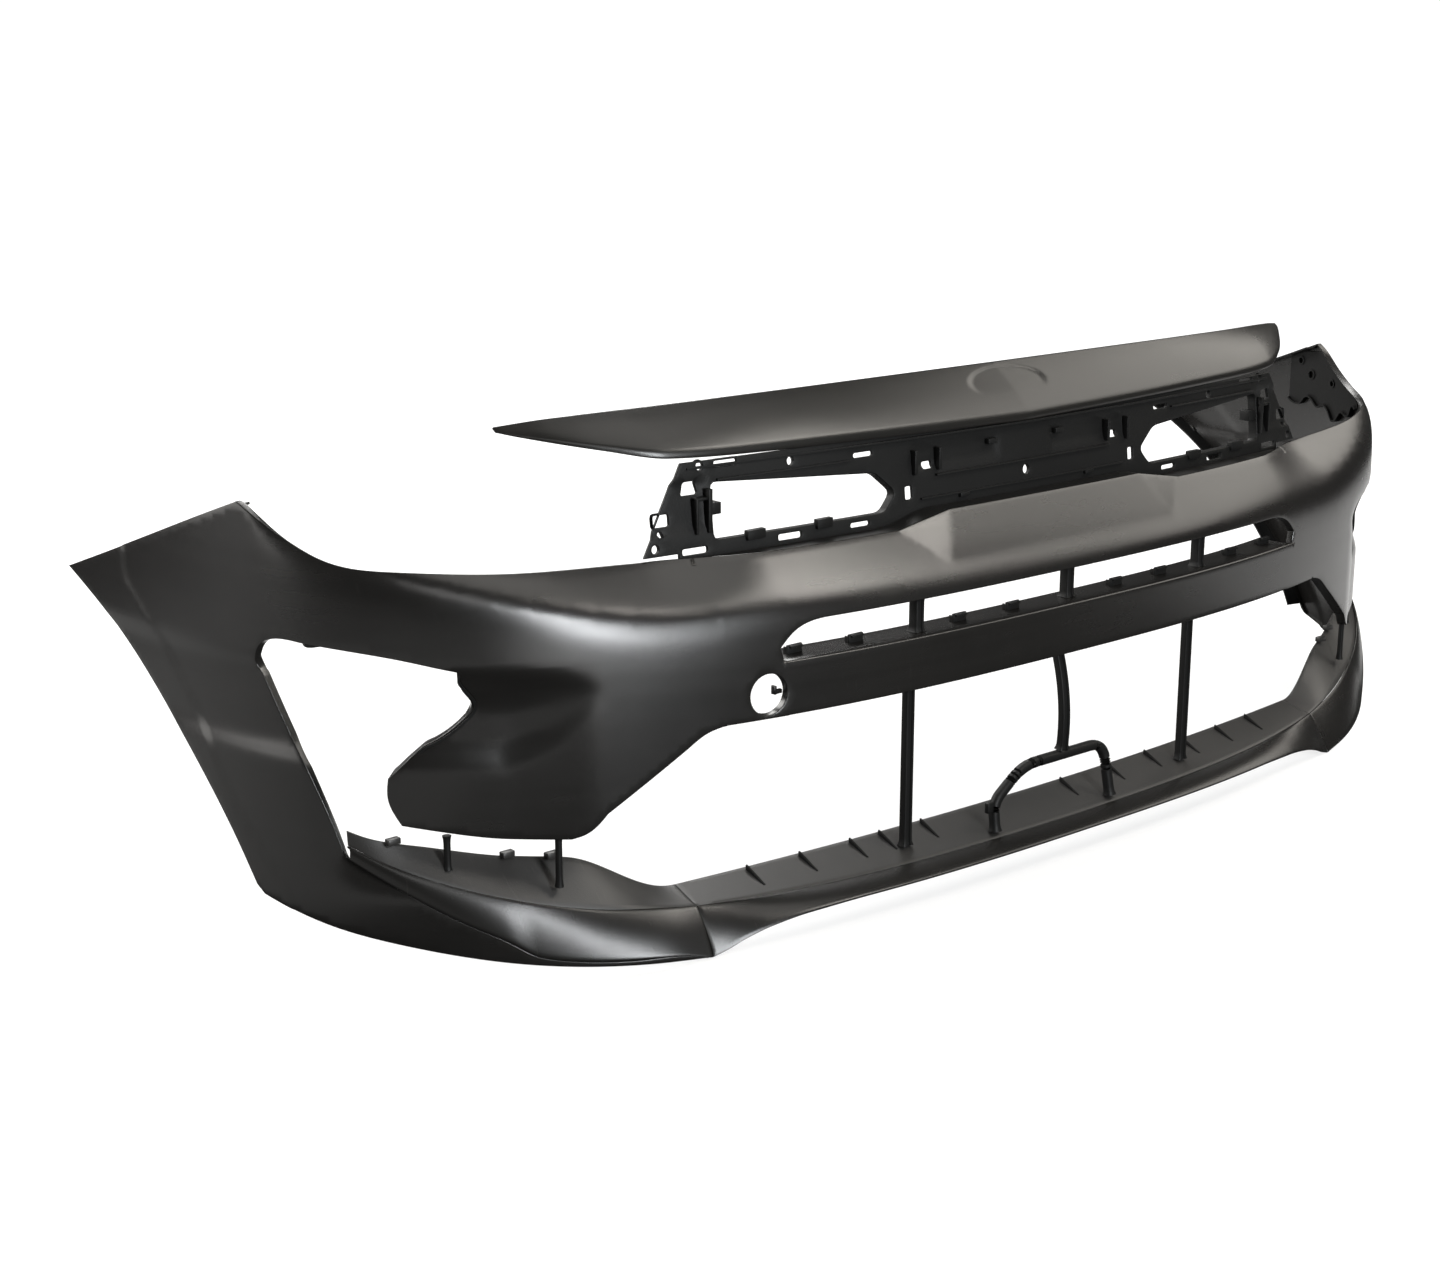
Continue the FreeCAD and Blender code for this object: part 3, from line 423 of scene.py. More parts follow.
def plastic(name, dark, light, rough, grain, depth, flow=0.0, scuff=0.0, shine=0.5):
    """Polypropylene: two tones, roughness, grain size and depth, flow lines and scuffs."""
    mat = bpy.data.materials.new(name)
    mat.use_nodes = True
    tree = mat.node_tree
    shader = tree.nodes["Principled BSDF"]
    where = new_node(tree, "TexCoord")
    cloud = new_node(tree, "TexNoise", Scale=5.0, Detail=5.0, Roughness=0.6)
    stretch = new_node(tree, "Mapping", Scale=(3.0, 3.0, 45.0))
    streak = new_node(tree, "TexNoise", Scale=1.6, Detail=3.0, Roughness=0.5)
    share = new_node(tree, "Math", operation="MULTIPLY_ADD")
    share.inputs[1].default_value = flow
    mix = new_node(tree, "Mix", data_type="RGBA", A=(*dark, 1), B=(*light, 1))
    wire(tree, (where, "Object", cloud, "Vector"), (where, "Object", stretch, "Vector"),
         (stretch, "Vector", streak, "Vector"), (streak, "Fac", share, 0),
         (cloud, "Fac", share, 2), (share, 0, mix, "Factor"))
    turned = new_node(tree, "Mapping", Rotation=(0.3, 0.5, 0.7), Scale=(260.0, 9.0, 30.0))
    scratch = new_node(tree, "TexNoise", Scale=1.0, Detail=2.0, Roughness=0.7)
    cut = new_node(tree, "ValToRGB")
    cut.color_ramp.elements[0].position = 0.66
    cut.color_ramp.elements[1].position = 0.72
    scuffs = new_node(tree, "Math", operation="MULTIPLY")
    scuffs.inputs[1].default_value = scuff
    worn = new_node(tree, "Mix", data_type="RGBA", B=(*[c * 1.9 for c in light], 1))
    wire(tree, (where, "Object", turned, "Vector"), (turned, "Vector", scratch, "Vector"),
         (scratch, "Fac", cut, "Fac"), (cut, "Color", scuffs, 0),
         (scuffs, 0, worn, "Factor"), (mix, "Result", worn, "A"),
         (worn, "Result", shader, "Base Color"))
    gloss = new_node(tree, "MapRange", **{"To Min": rough - 0.03, "To Max": rough + 0.05})
    pores = new_node(tree, "TexNoise", Scale=grain, Detail=2.0, Roughness=0.55)
    bump = new_node(tree, "Bump", Strength=depth, Distance=0.0004)
    wire(tree, (share, 0, gloss, "Value"), (gloss, "Result", shader, "Roughness"),
         (where, "Object", pores, "Vector"), (pores, "Fac", bump, "Height"),
         (bump, "Normal", shader, "Normal"))
    shader.inputs["IOR"].default_value = 1.49
    shader.inputs["Specular IOR Level"].default_value = shine
    return mat


print("materials before the recipe runs", len(bpy.data.materials))

# %% [markdown]
# Five plastics come from the one recipe. The skin is the smoothest, the lip and the upper panel
# shine a little less, the shelf is finely grained, and the hidden black pieces are coarse.

# %% Plastics
satin_pp = plastic("satin_charcoal_pp", (0.0045, 0.0043, 0.004), (0.009, 0.0084, 0.0077), 0.235,
                   900.0, 0.18, flow=0.5, scuff=0.25)
lip_pp = plastic("satin_lip_pp", (0.005, 0.0048, 0.0044), (0.010, 0.0094, 0.0087), 0.24,
                 900.0, 0.16, flow=0.4, scuff=0.35, shine=0.36)
panel_pp = plastic("satin_panel_pp", (0.005, 0.0048, 0.0044), (0.010, 0.0094, 0.0085), 0.26,
                   900.0, 0.16, flow=0.5, scuff=0.3, shine=0.4)
black_pp = plastic("grained_black_pp", (0.0035, 0.0035, 0.0034), (0.007, 0.007, 0.0068), 0.5,
                   520.0, 0.5, scuff=0.1, shine=0.16)
shelf_pp = plastic("fine_grain_pp", (0.010, 0.0095, 0.009), (0.019, 0.018, 0.017), 0.42,
                   700.0, 0.35, flow=0.3, scuff=0.3)
print("materials", [m.name for m in bpy.data.materials])

# %% [markdown]
# Every CAD node is loaded with the frame. Most of them are replaced below. The ones that stay,
# the two fog bezels, only need the plastic of the material slot that the record gives them.

# %% Plastics for the CAD nodes
for node_name, obj in frame["nodes"].items():
    entry = [p for p in frame["record"]["subparts"] if p["node"] == node_name][0]
    chosen = {"skin_pp": satin_pp, "lip_pp": lip_pp, "grained_pp": black_pp}[entry["material_slot"]]
    obj.data.materials.clear()
    obj.data.materials.append(chosen)
print("CAD nodes loaded", len(frame["nodes"]))

# %% [markdown]
# The wing is one big sheet bent round the corner of the car. Its outline runs from the seam
# over the headlamp edge to the fender, down the wheel arch, forward along the lip, and back
# round the fog opening and the cheek. The headlamp edge and the fog opening are folded back a
# few millimetres, which is why they catch a thin line of light.

# %% Edges of the wings
VERTEX, REAR = CORNER + 125, PLAN_END - 34
VERTEX_Z, TIP_Z = BAND_Z + 74, SLOT_Z + 25
lip_low_points = [(STEP, 0.5), (STEP + 40, 10), (CORNER - 227, 16), (CORNER - 190, 21),
                  (CORNER - 161, 28), (CORNER - 133, 45), (CORNER - 88, 68), (CORNER - 42, 94),
                  (CORNER + 14, 126)]
wing_lip_edge = profile(lip_low_points)
seat_s = np.linspace(STEP, CORNER + 14, 17)
lip_seat = list(zip(seat_s, wing_lip_edge(seat_s) - (WALL + GAP) * ramp(seat_s, STEP, STEP + 90)))
headlamp_edge = [(CORNER - 305, BAND_Z + 1), (CORNER - 145, BAND_Z + 9), (CORNER - 45, BAND_Z + 17),
                 (CORNER + 23, BAND_Z + 26), (CORNER + 55, BAND_Z + 39), (VERTEX, VERTEX_Z)]
fender_edge = [(VERTEX, VERTEX_Z), (VERTEX + 0.66 * (REAR - VERTEX), TIP_Z + 37), (REAR, TIP_Z)]
arch_edge = [(REAR, TIP_Z), (REAR - 100, TIP_Z - 51), (REAR - 204, TIP_Z - 133),
             (CORNER + 147, SHELF_Z + 58), (CORNER + 125, SHELF_Z + 23)]
lower_edge = [(CORNER + 115, SHELF_Z + 15), (CORNER + 55, SHELF_Z), (CORNER - 42, 37),
              (CORNER - 133, 20), (CORNER - 227, 8), (STEP, 0.5)]
fog_outer = [lip_seat[-1], (CORNER + 25, 151), (CORNER + 55, 211), (CORNER + 100, SLOT_Z - 28)]
fog_top = [(CORNER + 100, SLOT_Z - 28), (CORNER + 110, SLOT_Z - 14), (CORNER + 105, SLOT_Z),
           (CORNER + 88, SLOT_Z + 9), (CORNER + 55, SLOT_Z + 9)]
fog_brow = [(CORNER + 55, SLOT_Z + 9), (CORNER - 45, SLOT_Z - 2), (CORNER - 98, SLOT_Z - 15)]
fog_inner = [(CORNER - 98, SLOT_Z - 15), (CORNER - 108, SLOT_Z - 38), (CORNER - 117, SLOT_Z - 51),
             (CORNER - 110, SLOT_Z - 64)]
claw = [(CORNER - 110, SLOT_Z - 64), (CORNER - 85, BAR_Z + 11), (CORNER - 70, BAR_Z + 4)]
claw_back = [(CORNER - 70, BAR_Z + 4), (CORNER - 45, BAR_Z - 16), (CORNER - 33, BAR_Z - 27)]
claw_tip = [(CORNER - 33, BAR_Z - 27), (CORNER - 32, BAR_Z - 47), (CORNER - 45, BAR_Z - 74)]
cheek_edge = [(CORNER - 45, BAR_Z - 74), (CORNER - 80, BAR_Z - 80), (CORNER - 145, BAR_Z - 91),
              (CORNER - 205, BAR_Z - 95)]
cheek_corner = [(CORNER - 205, BAR_Z - 95), (CORNER - 218, BAR_Z - 91), (CORNER - 240, BAR_Z - 72)]
intake_side = [(CORNER - 240, BAR_Z - 72), (CORNER - 325, BAR_Z - 17)]
intake_corner = [(CORNER - 325, BAR_Z - 17), (CORNER - 345, BAR_Z - 5), (SEAM, BAR_Z)]
seam_side = [(SEAM, BAR_Z), (SEAM, BAND_Z + 1)]
band_edge = [(SEAM, BAND_Z + 1), (CORNER - 305, BAND_Z + 1)]

print("wing runs from", round(SEAM, 1), "to", round(REAR, 1), "mm along the plan curve")

# %% [markdown]
# Each edge becomes a run with its own rounding and fold depth, in the order they meet. Two more
# folds belong to the wing alone: the flare that stands out along the wheel arch and a pocket
# in the cheek. The right wing is the left one mirrored.

# %% Skin of the wings
FLARE_Z = [75, 160, 245, 300, 355]
FLARE_S = CORNER + np.array([79, 154, 204, 254, 324])
POCKET_TOP = [600, 650, 740], [283, 296, 309]
POCKET_BOTTOM = [600, 625, 650, 700, 740], [281, 262, 238, 218, 222]
wing_runs = [(seam_side, 0, 0), (band_edge, 1, 0), (headlamp_edge, 1, 5), (fender_edge, 1, 3),
             (arch_edge, 1, 4), ([arch_edge[-1], lower_edge[0]], 1, 4), (lower_edge, 1, 2),
             (lip_seat, 0.6, 0), (fog_outer, 1, 6), (fog_top, 1, 6), (fog_brow, 1, 6),
             (fog_inner, 1, 6), (claw, 1, 4), (claw_back, 1, 4), (claw_tip, 1, 4),
             (cheek_edge, 1, 6), (cheek_corner, 1, 8), (intake_side, 1, 10), (intake_corner, 1, 10)]


def flare(s, z):
    """The band along the wheel arch that stands slightly proud of the side."""
    inner = np.interp(z, FLARE_Z, FLARE_S)
    return -FLARE_PROUD * ramp(np.abs(s), inner - 5, inner + 4) * ramp(z, 20, 60)


def recess(s, z):
    """The pocket in the cheek, a shallow facet that points to the middle of the car."""
    a = np.abs(s)
    top, bottom = np.interp(a, *POCKET_TOP), np.interp(a, *POCKET_BOTTOM)
    tall = ramp(z, bottom - 14, bottom + 14) * (1 - ramp(z, top - 12, top + 4))
    return POCKET_DEPTH * tall * ramp(a, 598, 690)


def cover_skin(s, z):
    """Skin of a wing, with its flare and its pocket."""
    way = at(s, z, 1.0) - at(s, z, 0.0)
    return skin(s, z) + way * (flare(s, z) + recess(s, z))[..., None]


crease_s = np.linspace(SEAM + 4, CORNER + 110, 60)
crease_line = np.stack([crease_s, crease_at(crease_s)], -1)
wing = sheet(cover_skin, outline_of(wing_runs), spacing=7.0, lines=[crease_line])
add_pair("wing_skin_", wing, "wing_", satin_pp)

# %% [markdown]
# Parts that are not cut from the skin need a second way to be made: a plate over a function of
# two fractions, or a small bevelled block. A part moulded with ribs and ledges on it is a few
# such shells merged into one mesh.

# %% Helpers for plates and joined shells
def merge(shells):
    """One list of points and faces from several closed shells."""
    points, faces, start = [], [], 0
    for shell in shells:
        p, f = shell[0], shell[1]
        points.append(np.asarray(p))
        faces += [tuple(i + start for i in face) for face in f]
        start += len(p)
    return np.vstack(points), faces


def stations(length, count, r):
    """Fractions from 0 to 1 with extra ones inside the rounded edges."""
    inner = np.linspace(min(r / length, 0.3), 1 - min(r / length, 0.3), count)
    return np.concatenate([[0, 0.3 * inner[0]], inner, [1 - 0.3 * inner[0], 1]])


def plate(fn, lu, lv, nu, nv, thick, r=0.8, side=1.0):
    """Thick plate with rounded edges over fn(u, v), u and v from 0 to 1."""
    us, vs = stations(lu, nu, r), stations(lv, nv, r)
    u, v = np.meshgrid(us, vs, indexing="ij")
    e = 1e-3
    inside = lambda q: np.clip(q, 0, 1)
    du = fn(inside(u + e), v) - fn(inside(u - e), v)
    dv = fn(u, inside(v + e)) - fn(u, inside(v - e))
    n = np.cross(du, dv)
    n *= side / (np.linalg.norm(n, axis=-1)[..., None] + 1e-12)
    base = fn(u, v)
    edge = np.minimum(np.minimum(u, 1 - u) * lu, np.minimum(v, 1 - v) * lv)
    drop = r - np.sqrt(np.maximum(r * r - np.maximum(r - edge, 0) ** 2, 0))
    front = base - n * drop[..., None]
    back = base - n * (thick - 0.5 * drop)[..., None]
    a, b = u.shape
    points = np.vstack([front.reshape(-1, 3), back.reshape(-1, 3)])
    k = lambda i, j, s: i * b + j + s * a * b
    faces = []
    for i in range(a - 1):
        for j in range(b - 1):
            faces.append((k(i, j, 0), k(i + 1, j, 0), k(i + 1, j + 1, 0), k(i, j + 1, 0)))
            faces.append((k(i, j, 1), k(i, j + 1, 1), k(i + 1, j + 1, 1), k(i + 1, j, 1)))
    ring = [(i, 0) for i in range(a)] + [(a - 1, j) for j in range(1, b)]
    ring += [(i, b - 1) for i in range(a - 2, -1, -1)] + [(0, j) for j in range(b - 2, 0, -1)]
    for p, q in zip(ring, ring[1:] + ring[:1]):
        faces.append((k(*p, 0), k(*p, 1), k(*q, 1), k(*q, 0)))
    return points, faces


def flange(s0, s1, z, front, back, thick=2.5, count=60):
    """Level plate from just inside the skin's face back to a depth."""
    def fn(u, v):
        s = s0 + (s1 - s0) * u
        near = lean(s, z) + front
        return at(s, z, near + (back - near) * v)
    return plate(fn, abs(s1 - s0), back, count, 6, thick, 0.7)


def block(low, high, r=0.8):
    """Small moulded block with rounded edges."""
    low, high = np.array(low, float), np.array(high, float)
    work = bmesh.new()
    bmesh.ops.create_cube(work, size=1.0)
    for vert in work.verts:
        vert.co = Vector((low + high) / 2 + np.array(vert.co) * (high - low))
    bmesh.ops.bevel(work, geom=list(work.edges), offset=r, segments=2, profile=0.5,
                    affect="EDGES")
    points = np.array([v.co[:] for v in work.verts])
    faces = [tuple(v.index for v in f.verts) for f in work.faces]
    work.free()
    return points, faces


trial = block((0, 0, 0), (10, 10, 10))
print("a bevelled block has", len(trial[0]), "points")

# %% [markdown]
# The band above the slot carries the fold that frames the badge. Its middle stands proud of
# its ends, and on each side a small three-cornered facet leads from one level to the other.
# It meets the wings edge to edge, so its ends stay sharp and everything else is rounded.

# %% Centre band
SLOT_TIP = CORNER - 428
NOTCH_OUT, NOTCH_IN = 0.477 * SEAM, 0.323 * SEAM
FOOT = SLOT_TIP - 12


def proud_middle(s, z):
    """Middle of the band stands forward, less towards its foot, with a facet at each side."""
    rise = 11.0 * np.clip((z - 350) / 46, 0, 1.3)
    inner = np.interp(z, [350, 398], [NOTCH_IN + 25, NOTCH_IN])
    outer = np.interp(z, [350, 385, 402], [NOTCH_IN + 26, NOTCH_OUT, NOTCH_OUT + 22])
    return -rise * np.clip((outer - np.abs(s)) / (outer - inner), 0, 1)


def band_skin(s, z):
    """Skin of the band, with its proud middle."""
    way = at(s, z, 1.0) - at(s, z, 0.0)
    return skin(s, z) + way * proud_middle(s, z)[..., None]


slot_corner = [(SLOT_TIP, LEDGE_Z + 14), (SLOT_TIP - 17, SLOT_Z - 9), (SLOT_TIP - 42, SLOT_Z - 1),
               (SLOT_TIP - 67, SLOT_Z)]
mirror = lambda run: [(-s, z) for s, z in reversed(run)]
band_runs = [([(-SEAM, BAND_Z + 1), (-NOTCH_OUT, BAND_Z)], 1, 0),
             ([(-NOTCH_OUT, BAND_Z), (-NOTCH_IN, BAND_Z + 13)], 1, 0),
             ([(-NOTCH_IN, BAND_Z + 13), (NOTCH_IN, BAND_Z + 13)], 1, 0),
             ([(NOTCH_IN, BAND_Z + 13), (NOTCH_OUT, BAND_Z)], 1, 0),
             ([(NOTCH_OUT, BAND_Z), (SEAM, BAND_Z + 1)], 1, 0),
             ([(SEAM, BAND_Z + 1), (SEAM, LEDGE_Z)], 0, 0),
             ([(SEAM, LEDGE_Z), (FOOT + 8, LEDGE_Z)], 0, 0),
             ([(FOOT + 8, LEDGE_Z), (SLOT_TIP, LEDGE_Z + 14)], 1.5, 5),
             (slot_corner, 1.5, 5),
             ([slot_corner[-1], (-slot_corner[-1][0], SLOT_Z)], 1.5, 5),
             (mirror(slot_corner), 1.5, 5),
             ([(-SLOT_TIP, LEDGE_Z + 14), (-FOOT - 8, LEDGE_Z)], 1.5, 5),
             ([(-FOOT - 8, LEDGE_Z), (-SEAM, LEDGE_Z)], 0, 0),
             ([(-SEAM, LEDGE_Z), (-SEAM, BAND_Z + 1)], 0, 0)]
facets = []
for way in (-1, 1):
    facets.append([(way * (NOTCH_IN + 26), 350), (way * (NOTCH_OUT - 2), 384)])
    facets.append([(way * (NOTCH_IN + 25), 350.5), (way * (NOTCH_IN + 1), 396)])
long_crease = np.stack([np.linspace(-SEAM + 4, SEAM - 4, 120),
                        crease_at(np.linspace(-SEAM + 4, SEAM - 4, 120))], -1)
front = sheet(band_skin, outline_of(band_runs), spacing=5.0, lines=[long_crease] + facets)
back = flange(-SLOT_TIP + 70, SLOT_TIP - 70, SLOT_Z + 2.5, 2.0, 50)
add_piece("center_band_skin", merge([front, back]), ["center_band"], satin_pp, sharp=30)

# %% [markdown]
# Under the slot runs the bar that carries the number plate. Two level plates behind its face
# make the box that keeps it stiff. A round hole lets a towing eye through, and a small hook
# beside the hole holds its cap.

# %% Number plate bar
TOW_S = -(CORNER - 414)
turn = np.linspace(0, 2 * math.pi, 41)[:-1]
tow_ring = [(TOW_S + 21 * math.cos(a), BAR_Z + 25 + 21 * math.sin(a)) for a in turn]
tow_hole = outline_of([(tow_ring[:21], 1.2, 6), (tow_ring[20:] + tow_ring[:1], 1.2, 6)])
bar_edge = [(-SEAM, BAR_Z), (-FOOT, BAR_Z), (FOOT, BAR_Z), (SEAM, BAR_Z), (SEAM, LEDGE_Z),
            (FOOT + 8, LEDGE_Z), (-FOOT - 8, LEDGE_Z), (-SEAM, LEDGE_Z)]
bar_runs = closed(bar_edge, [(1, 8), (2, 8), (1, 8), (0, 0), (0, 0), (2.6, 1), (0, 0), (0, 0)])
front = sheet(skin, outline_of(bar_runs), holes=[tow_hole], spacing=7.0)
top = flange(-SLOT_TIP + 8, SLOT_TIP - 8, LEDGE_Z, 1.6, 50)
sole = flange(-SLOT_TIP + 40, SLOT_TIP - 40, BAR_Z + 2.5, 1.6, 50)
tow_at = at(np.array([TOW_S]), BAR_Z + 25)[0]
hook = block(tow_at + (11, 5, -3), tow_at + (21, 9, 1.5), 0.7)
hook_tip = block(tow_at + (10, 4, -3), tow_at + (13, 10, 6), 0.7)
add_piece("number_plate_bar_skin", merge([front, top, sole, hook, hook_tip]),
          ["number_plate_bar"], satin_pp)

# %% [markdown]
# The upper panel closes the gap to the bonnet. It is one long leaf with sharp tips. Its lower
# edge is rolled under, which draws the bright line along the top of the grille, and the seat
# for the badge is a shallow blank oval pressed into the middle.

# %% Upper panel
PANEL_HALF = CORNER - 223
h = PANEL_HALF
panel_low_z = profile([(0, FRAME_Z - 8), (h - 430, FRAME_Z - 5), (h - 225, FRAME_Z - 2),
                       (h - 144, FRAME_Z + 1), (h - 85, FRAME_Z + 12), (h - 17, FRAME_Z + 27),
                       (h, FRAME_Z + 32)])
panel_low_y = profile([(0, 0), (h - 430, 7), (h - 225, 24), (h - 144, 38), (h - 85, 68),
                       (h - 17, 122), (h, 138)])
panel_top_z = profile([(0, PANEL_Z), (h - 338, PANEL_Z - 1), (h - 138, PANEL_Z - 5),
                       (h - 50, PANEL_Z - 10), (h, PANEL_Z - 16)])
panel_top_y = profile([(0, 0), (h - 338, 6), (h - 234, 15), (h - 138, 31), (h - 50, 58), (h, 79)])


def panel_face(u, v):
    """Leaf from the rolled lower edge to the edge under the bonnet, with the badge's seat."""
    x = (h - 4) * (2 * u - 1)
    a = np.abs(x)
    low = np.stack([x, NOSE_Y + 82 + panel_low_y(a), panel_low_z(a)], -1)
    high = np.stack([x, NOSE_Y + 144 + panel_top_y(a), panel_top_z(a)], -1)
    tall = high[..., 2] - low[..., 2]
    swell = np.minimum(3.5, 0.08 * tall) * 4 * v * (1 - v)
    roll = np.minimum(6.0, 0.1 * tall) * np.clip(1 - v / 0.19, 0, 1) ** 2
    oval = np.sqrt((x / 59) ** 2 + ((v - 0.62) / 0.30) ** 2)
    dish = 1.3 * (1 - ramp(oval, 0.93, 1.03)) * ramp(v, 0.42, 0.75)
    out = swell * 0.7 - roll * 0.4 - dish * 0.7
    p = low + (high - low) * v[..., None]
    return p + np.stack([0 * x, -out + roll * 0.8, out + roll * 0.4], -1)


top = plate(panel_face, 2 * h, 78, 330, 56, WALL, 1.0)


def panel_rib(x):
    """Stiffening rib behind the panel."""
    def fn(u, v):
        q = np.full_like(u, 0.5 + x / (2 * (h - 4)))
        p = panel_face(q, 0.15 + 0.7 * u)
        tall = 5 * v * 4 * u * (1 - u)
        return p + np.stack([0 * u, 2.6 + tall, -2.0 - tall], -1)
    return plate(fn, 50, 6, 8, 2, 1.6, 0.4)


ribs = [panel_rib(x) for x in (-470, -380, -290, -200, -110, 110, 200, 290, 380, 470)]
add_piece("upper_panel_skin", merge([top] + ribs), ["upper_panel"], panel_pp)

# %% [markdown]
# The lip is the sloped band at the very bottom. It is one smooth ribbon across the car and up
# along the fog openings, split in three where the frame splits it. Its upper edge turns back
# into the shelf, and its lower rim drops over the wing's edge to hide the joint.

# %% Lip
lip_edge = profile([(0, 31), (STEP - 191, 30), (STEP - 111, 27), (STEP - 66, 21), (STEP - 36, 13),
                    (STEP - 18, 6), (STEP, 0.5)])
crest = profile([(0, CREST_Z), (CORNER - 546, CREST_Z + 2), (CORNER - 346, CREST_Z + 8),
                 (CORNER - 295, CREST_Z + 13), (CORNER - 245, CREST_Z + 19),
                 (CORNER - 195, CREST_Z + 29), (CORNER - 145, CREST_Z + 42),
                 (CORNER - 95, CREST_Z + 57), (CORNER - 45, CREST_Z + 74),
                 (CORNER + 12, CREST_Z + 98)])


def lip_face(s0, s1, edge, rim):
    """Ribbon from the lip's edge up to its crest; the share rim of it turns down."""
    def fn(u, v):
        s = s0 + (s1 - s0) * u
        a = np.abs(s)
        low = at(s, edge(a) + GAP, -lip_stand(s))
        high = at(s, crest(a), 5.0)
        t = np.clip((v - rim) / (1 - rim), 0, 1)
        turn_down = np.clip((rim - v) / max(rim, 1e-6), 0, 1) if rim else 0 * v
        bulge = 1.5 * 4 * t * (1 - t)
        drop = (WALL + GAP) * ramp(a, STEP, STEP + 90) * turn_down
        p = low + (high - low) * t[..., None]
        return p + np.stack([0 * s, -bulge, bulge - drop], -1)
    return fn


middle = plate(lip_face(-STEP, STEP, lip_edge, 0.0), 2 * STEP, 32, 260, 14, WALL, 1.0)
add_piece("lower_lip_center_skin", middle, ["lower_lip_center"], lip_pp)
outer = plate(lip_face(STEP, CORNER + 12, wing_lip_edge, 0.1), 380, 45, 150, 18, WALL, 1.0)
add_pair("lower_lip_skin_", outer, "lower_lip_", lip_pp)

# %% [markdown]
# Behind the lip a flat shelf runs back to where the radiator duct starts, and narrows into the
# slit beside the fog openings. Little tabs stand on its rear edge to clip into the duct.

# %% Shelf
slit_z = profile([(STEP, SHELF_Z), (CORNER - 330, SHELF_Z), (CORNER - 220, SHELF_Z + 46),
                  (CORNER - 177, SHELF_Z + 52), (CORNER - 145, SHELF_Z + 56),
                  (CORNER - 80, SHELF_Z + 70), (CORNER - 15, SHELF_Z + 84),
                  (CORNER + 12, SHELF_Z + 92)])
slit_back = profile([(STEP, 46), (CORNER - 145, 45), (CORNER - 80, 35), (CORNER - 15, 15),
                     (CORNER + 12, 9)])
slit_start = at(np.array([STEP]), SHELF_Z, 46.0)[0]
step_x = at(np.array([STEP]), SHELF_Z)[0][0]


def shelf_front(s):
    """Front edge of the shelf, under the lip's crest."""
    return at(s, crest(np.abs(s)) - 0.6, 5 + 0.5 * WALL)


def shelf_rear(s):
    """Rear edge of the shelf, bowed in the middle and narrow in the slit."""
    bow = (slit_start[1] - NOSE_Y - 62) * (s / STEP) ** 2
    x = at(s, SHELF_Z)[..., 0] * slit_start[0] / step_x
    middle = np.stack([x, NOSE_Y + 62 + bow, SHELF_Z + 0 * s], -1)
    outer = at(s, slit_z(np.abs(s)), slit_back(np.abs(s)))
    return np.where((np.abs(s) <= STEP)[..., None], middle, outer)


def shelf_face(s0, s1):
    """Face of the shelf between two stations along the car."""
    def fn(u, v):
        s = s0 + (s1 - s0) * u
        front, rear = shelf_front(s), shelf_rear(s)
        return front + (rear - front) * v[..., None]
    return fn


def shelf_height(x, y):
    """Height of the shelf's top at one place."""
    front, rear = shelf_front(np.array([x]))[0], shelf_rear(np.array([x]))[0]
    return front[2] + (rear[2] - front[2]) * (y - front[1]) / (rear[1] - front[1])


shelf = plate(shelf_face(-STEP, STEP), 2 * STEP, 80, 200, 12, WALL, 0.8)
add_piece("intake_shelf_plate", shelf, ["intake_shelf"], shelf_pp)
slit = [plate(shelf_face(STEP, CORNER + 12), 380, 45, 110, 10, WALL, 0.8)]
for back_from_corner in (36, 156, 201):
    p = shelf_rear(np.array([CORNER - back_from_corner]))[0]
    slit.append(block(p + (-7, -7, -1), p + (7, 1, 5.5), 1.2))
add_pair("slit_shelf_plate_", merge(slit), "slit_shelf_", shelf_pp)

# %% [markdown]
# Posts tie the bar to the shelf and keep the slot open. Each is a moulded channel with a groove
# in its face and a small foot at both ends. A section swept along a line makes the posts, the
# struts in the slit and the hoop that carries the middle post on the shelf.

# %% Swept bars
def section(w, d, r=1.2, groove=0.0):
    """Rounded rectangle, w across and d deep, with a groove in its front."""
    pts = []
    for cx, cy, a0 in ((w / 2 - r, d / 2 - r, 0), (-w / 2 + r, d / 2 - r, 90),
                       (-w / 2 + r, -d / 2 + r, 180)):
        pts += [(cx + r * math.cos(math.radians(a0 + a)), cy + r * math.sin(math.radians(a0 + a)))
                for a in (0, 30, 60, 90)]
    if groove:
        pts += [(-w / 5, -d / 2), (-w / 5 + 0.8, -d / 2 + groove), (w / 5 - 0.8, -d / 2 + groove),
                (w / 5, -d / 2)]
    cx, cy = w / 2 - r, -d / 2 + r
    pts += [(cx + r * math.cos(math.radians(a)), cy + r * math.sin(math.radians(a)))
            for a in (270, 300, 330, 360)]
    return np.array(pts)


def bar_faces(n, m):
    """Faces of a closed bar from n rings of m points."""
    faces = [(i * m + j, i * m + (j + 1) % m, (i + 1) * m + (j + 1) % m, (i + 1) * m + j)
             for i in range(n - 1) for j in range(m)]
    return faces + [tuple(range(m)), tuple(range((n - 1) * m, n * m))]


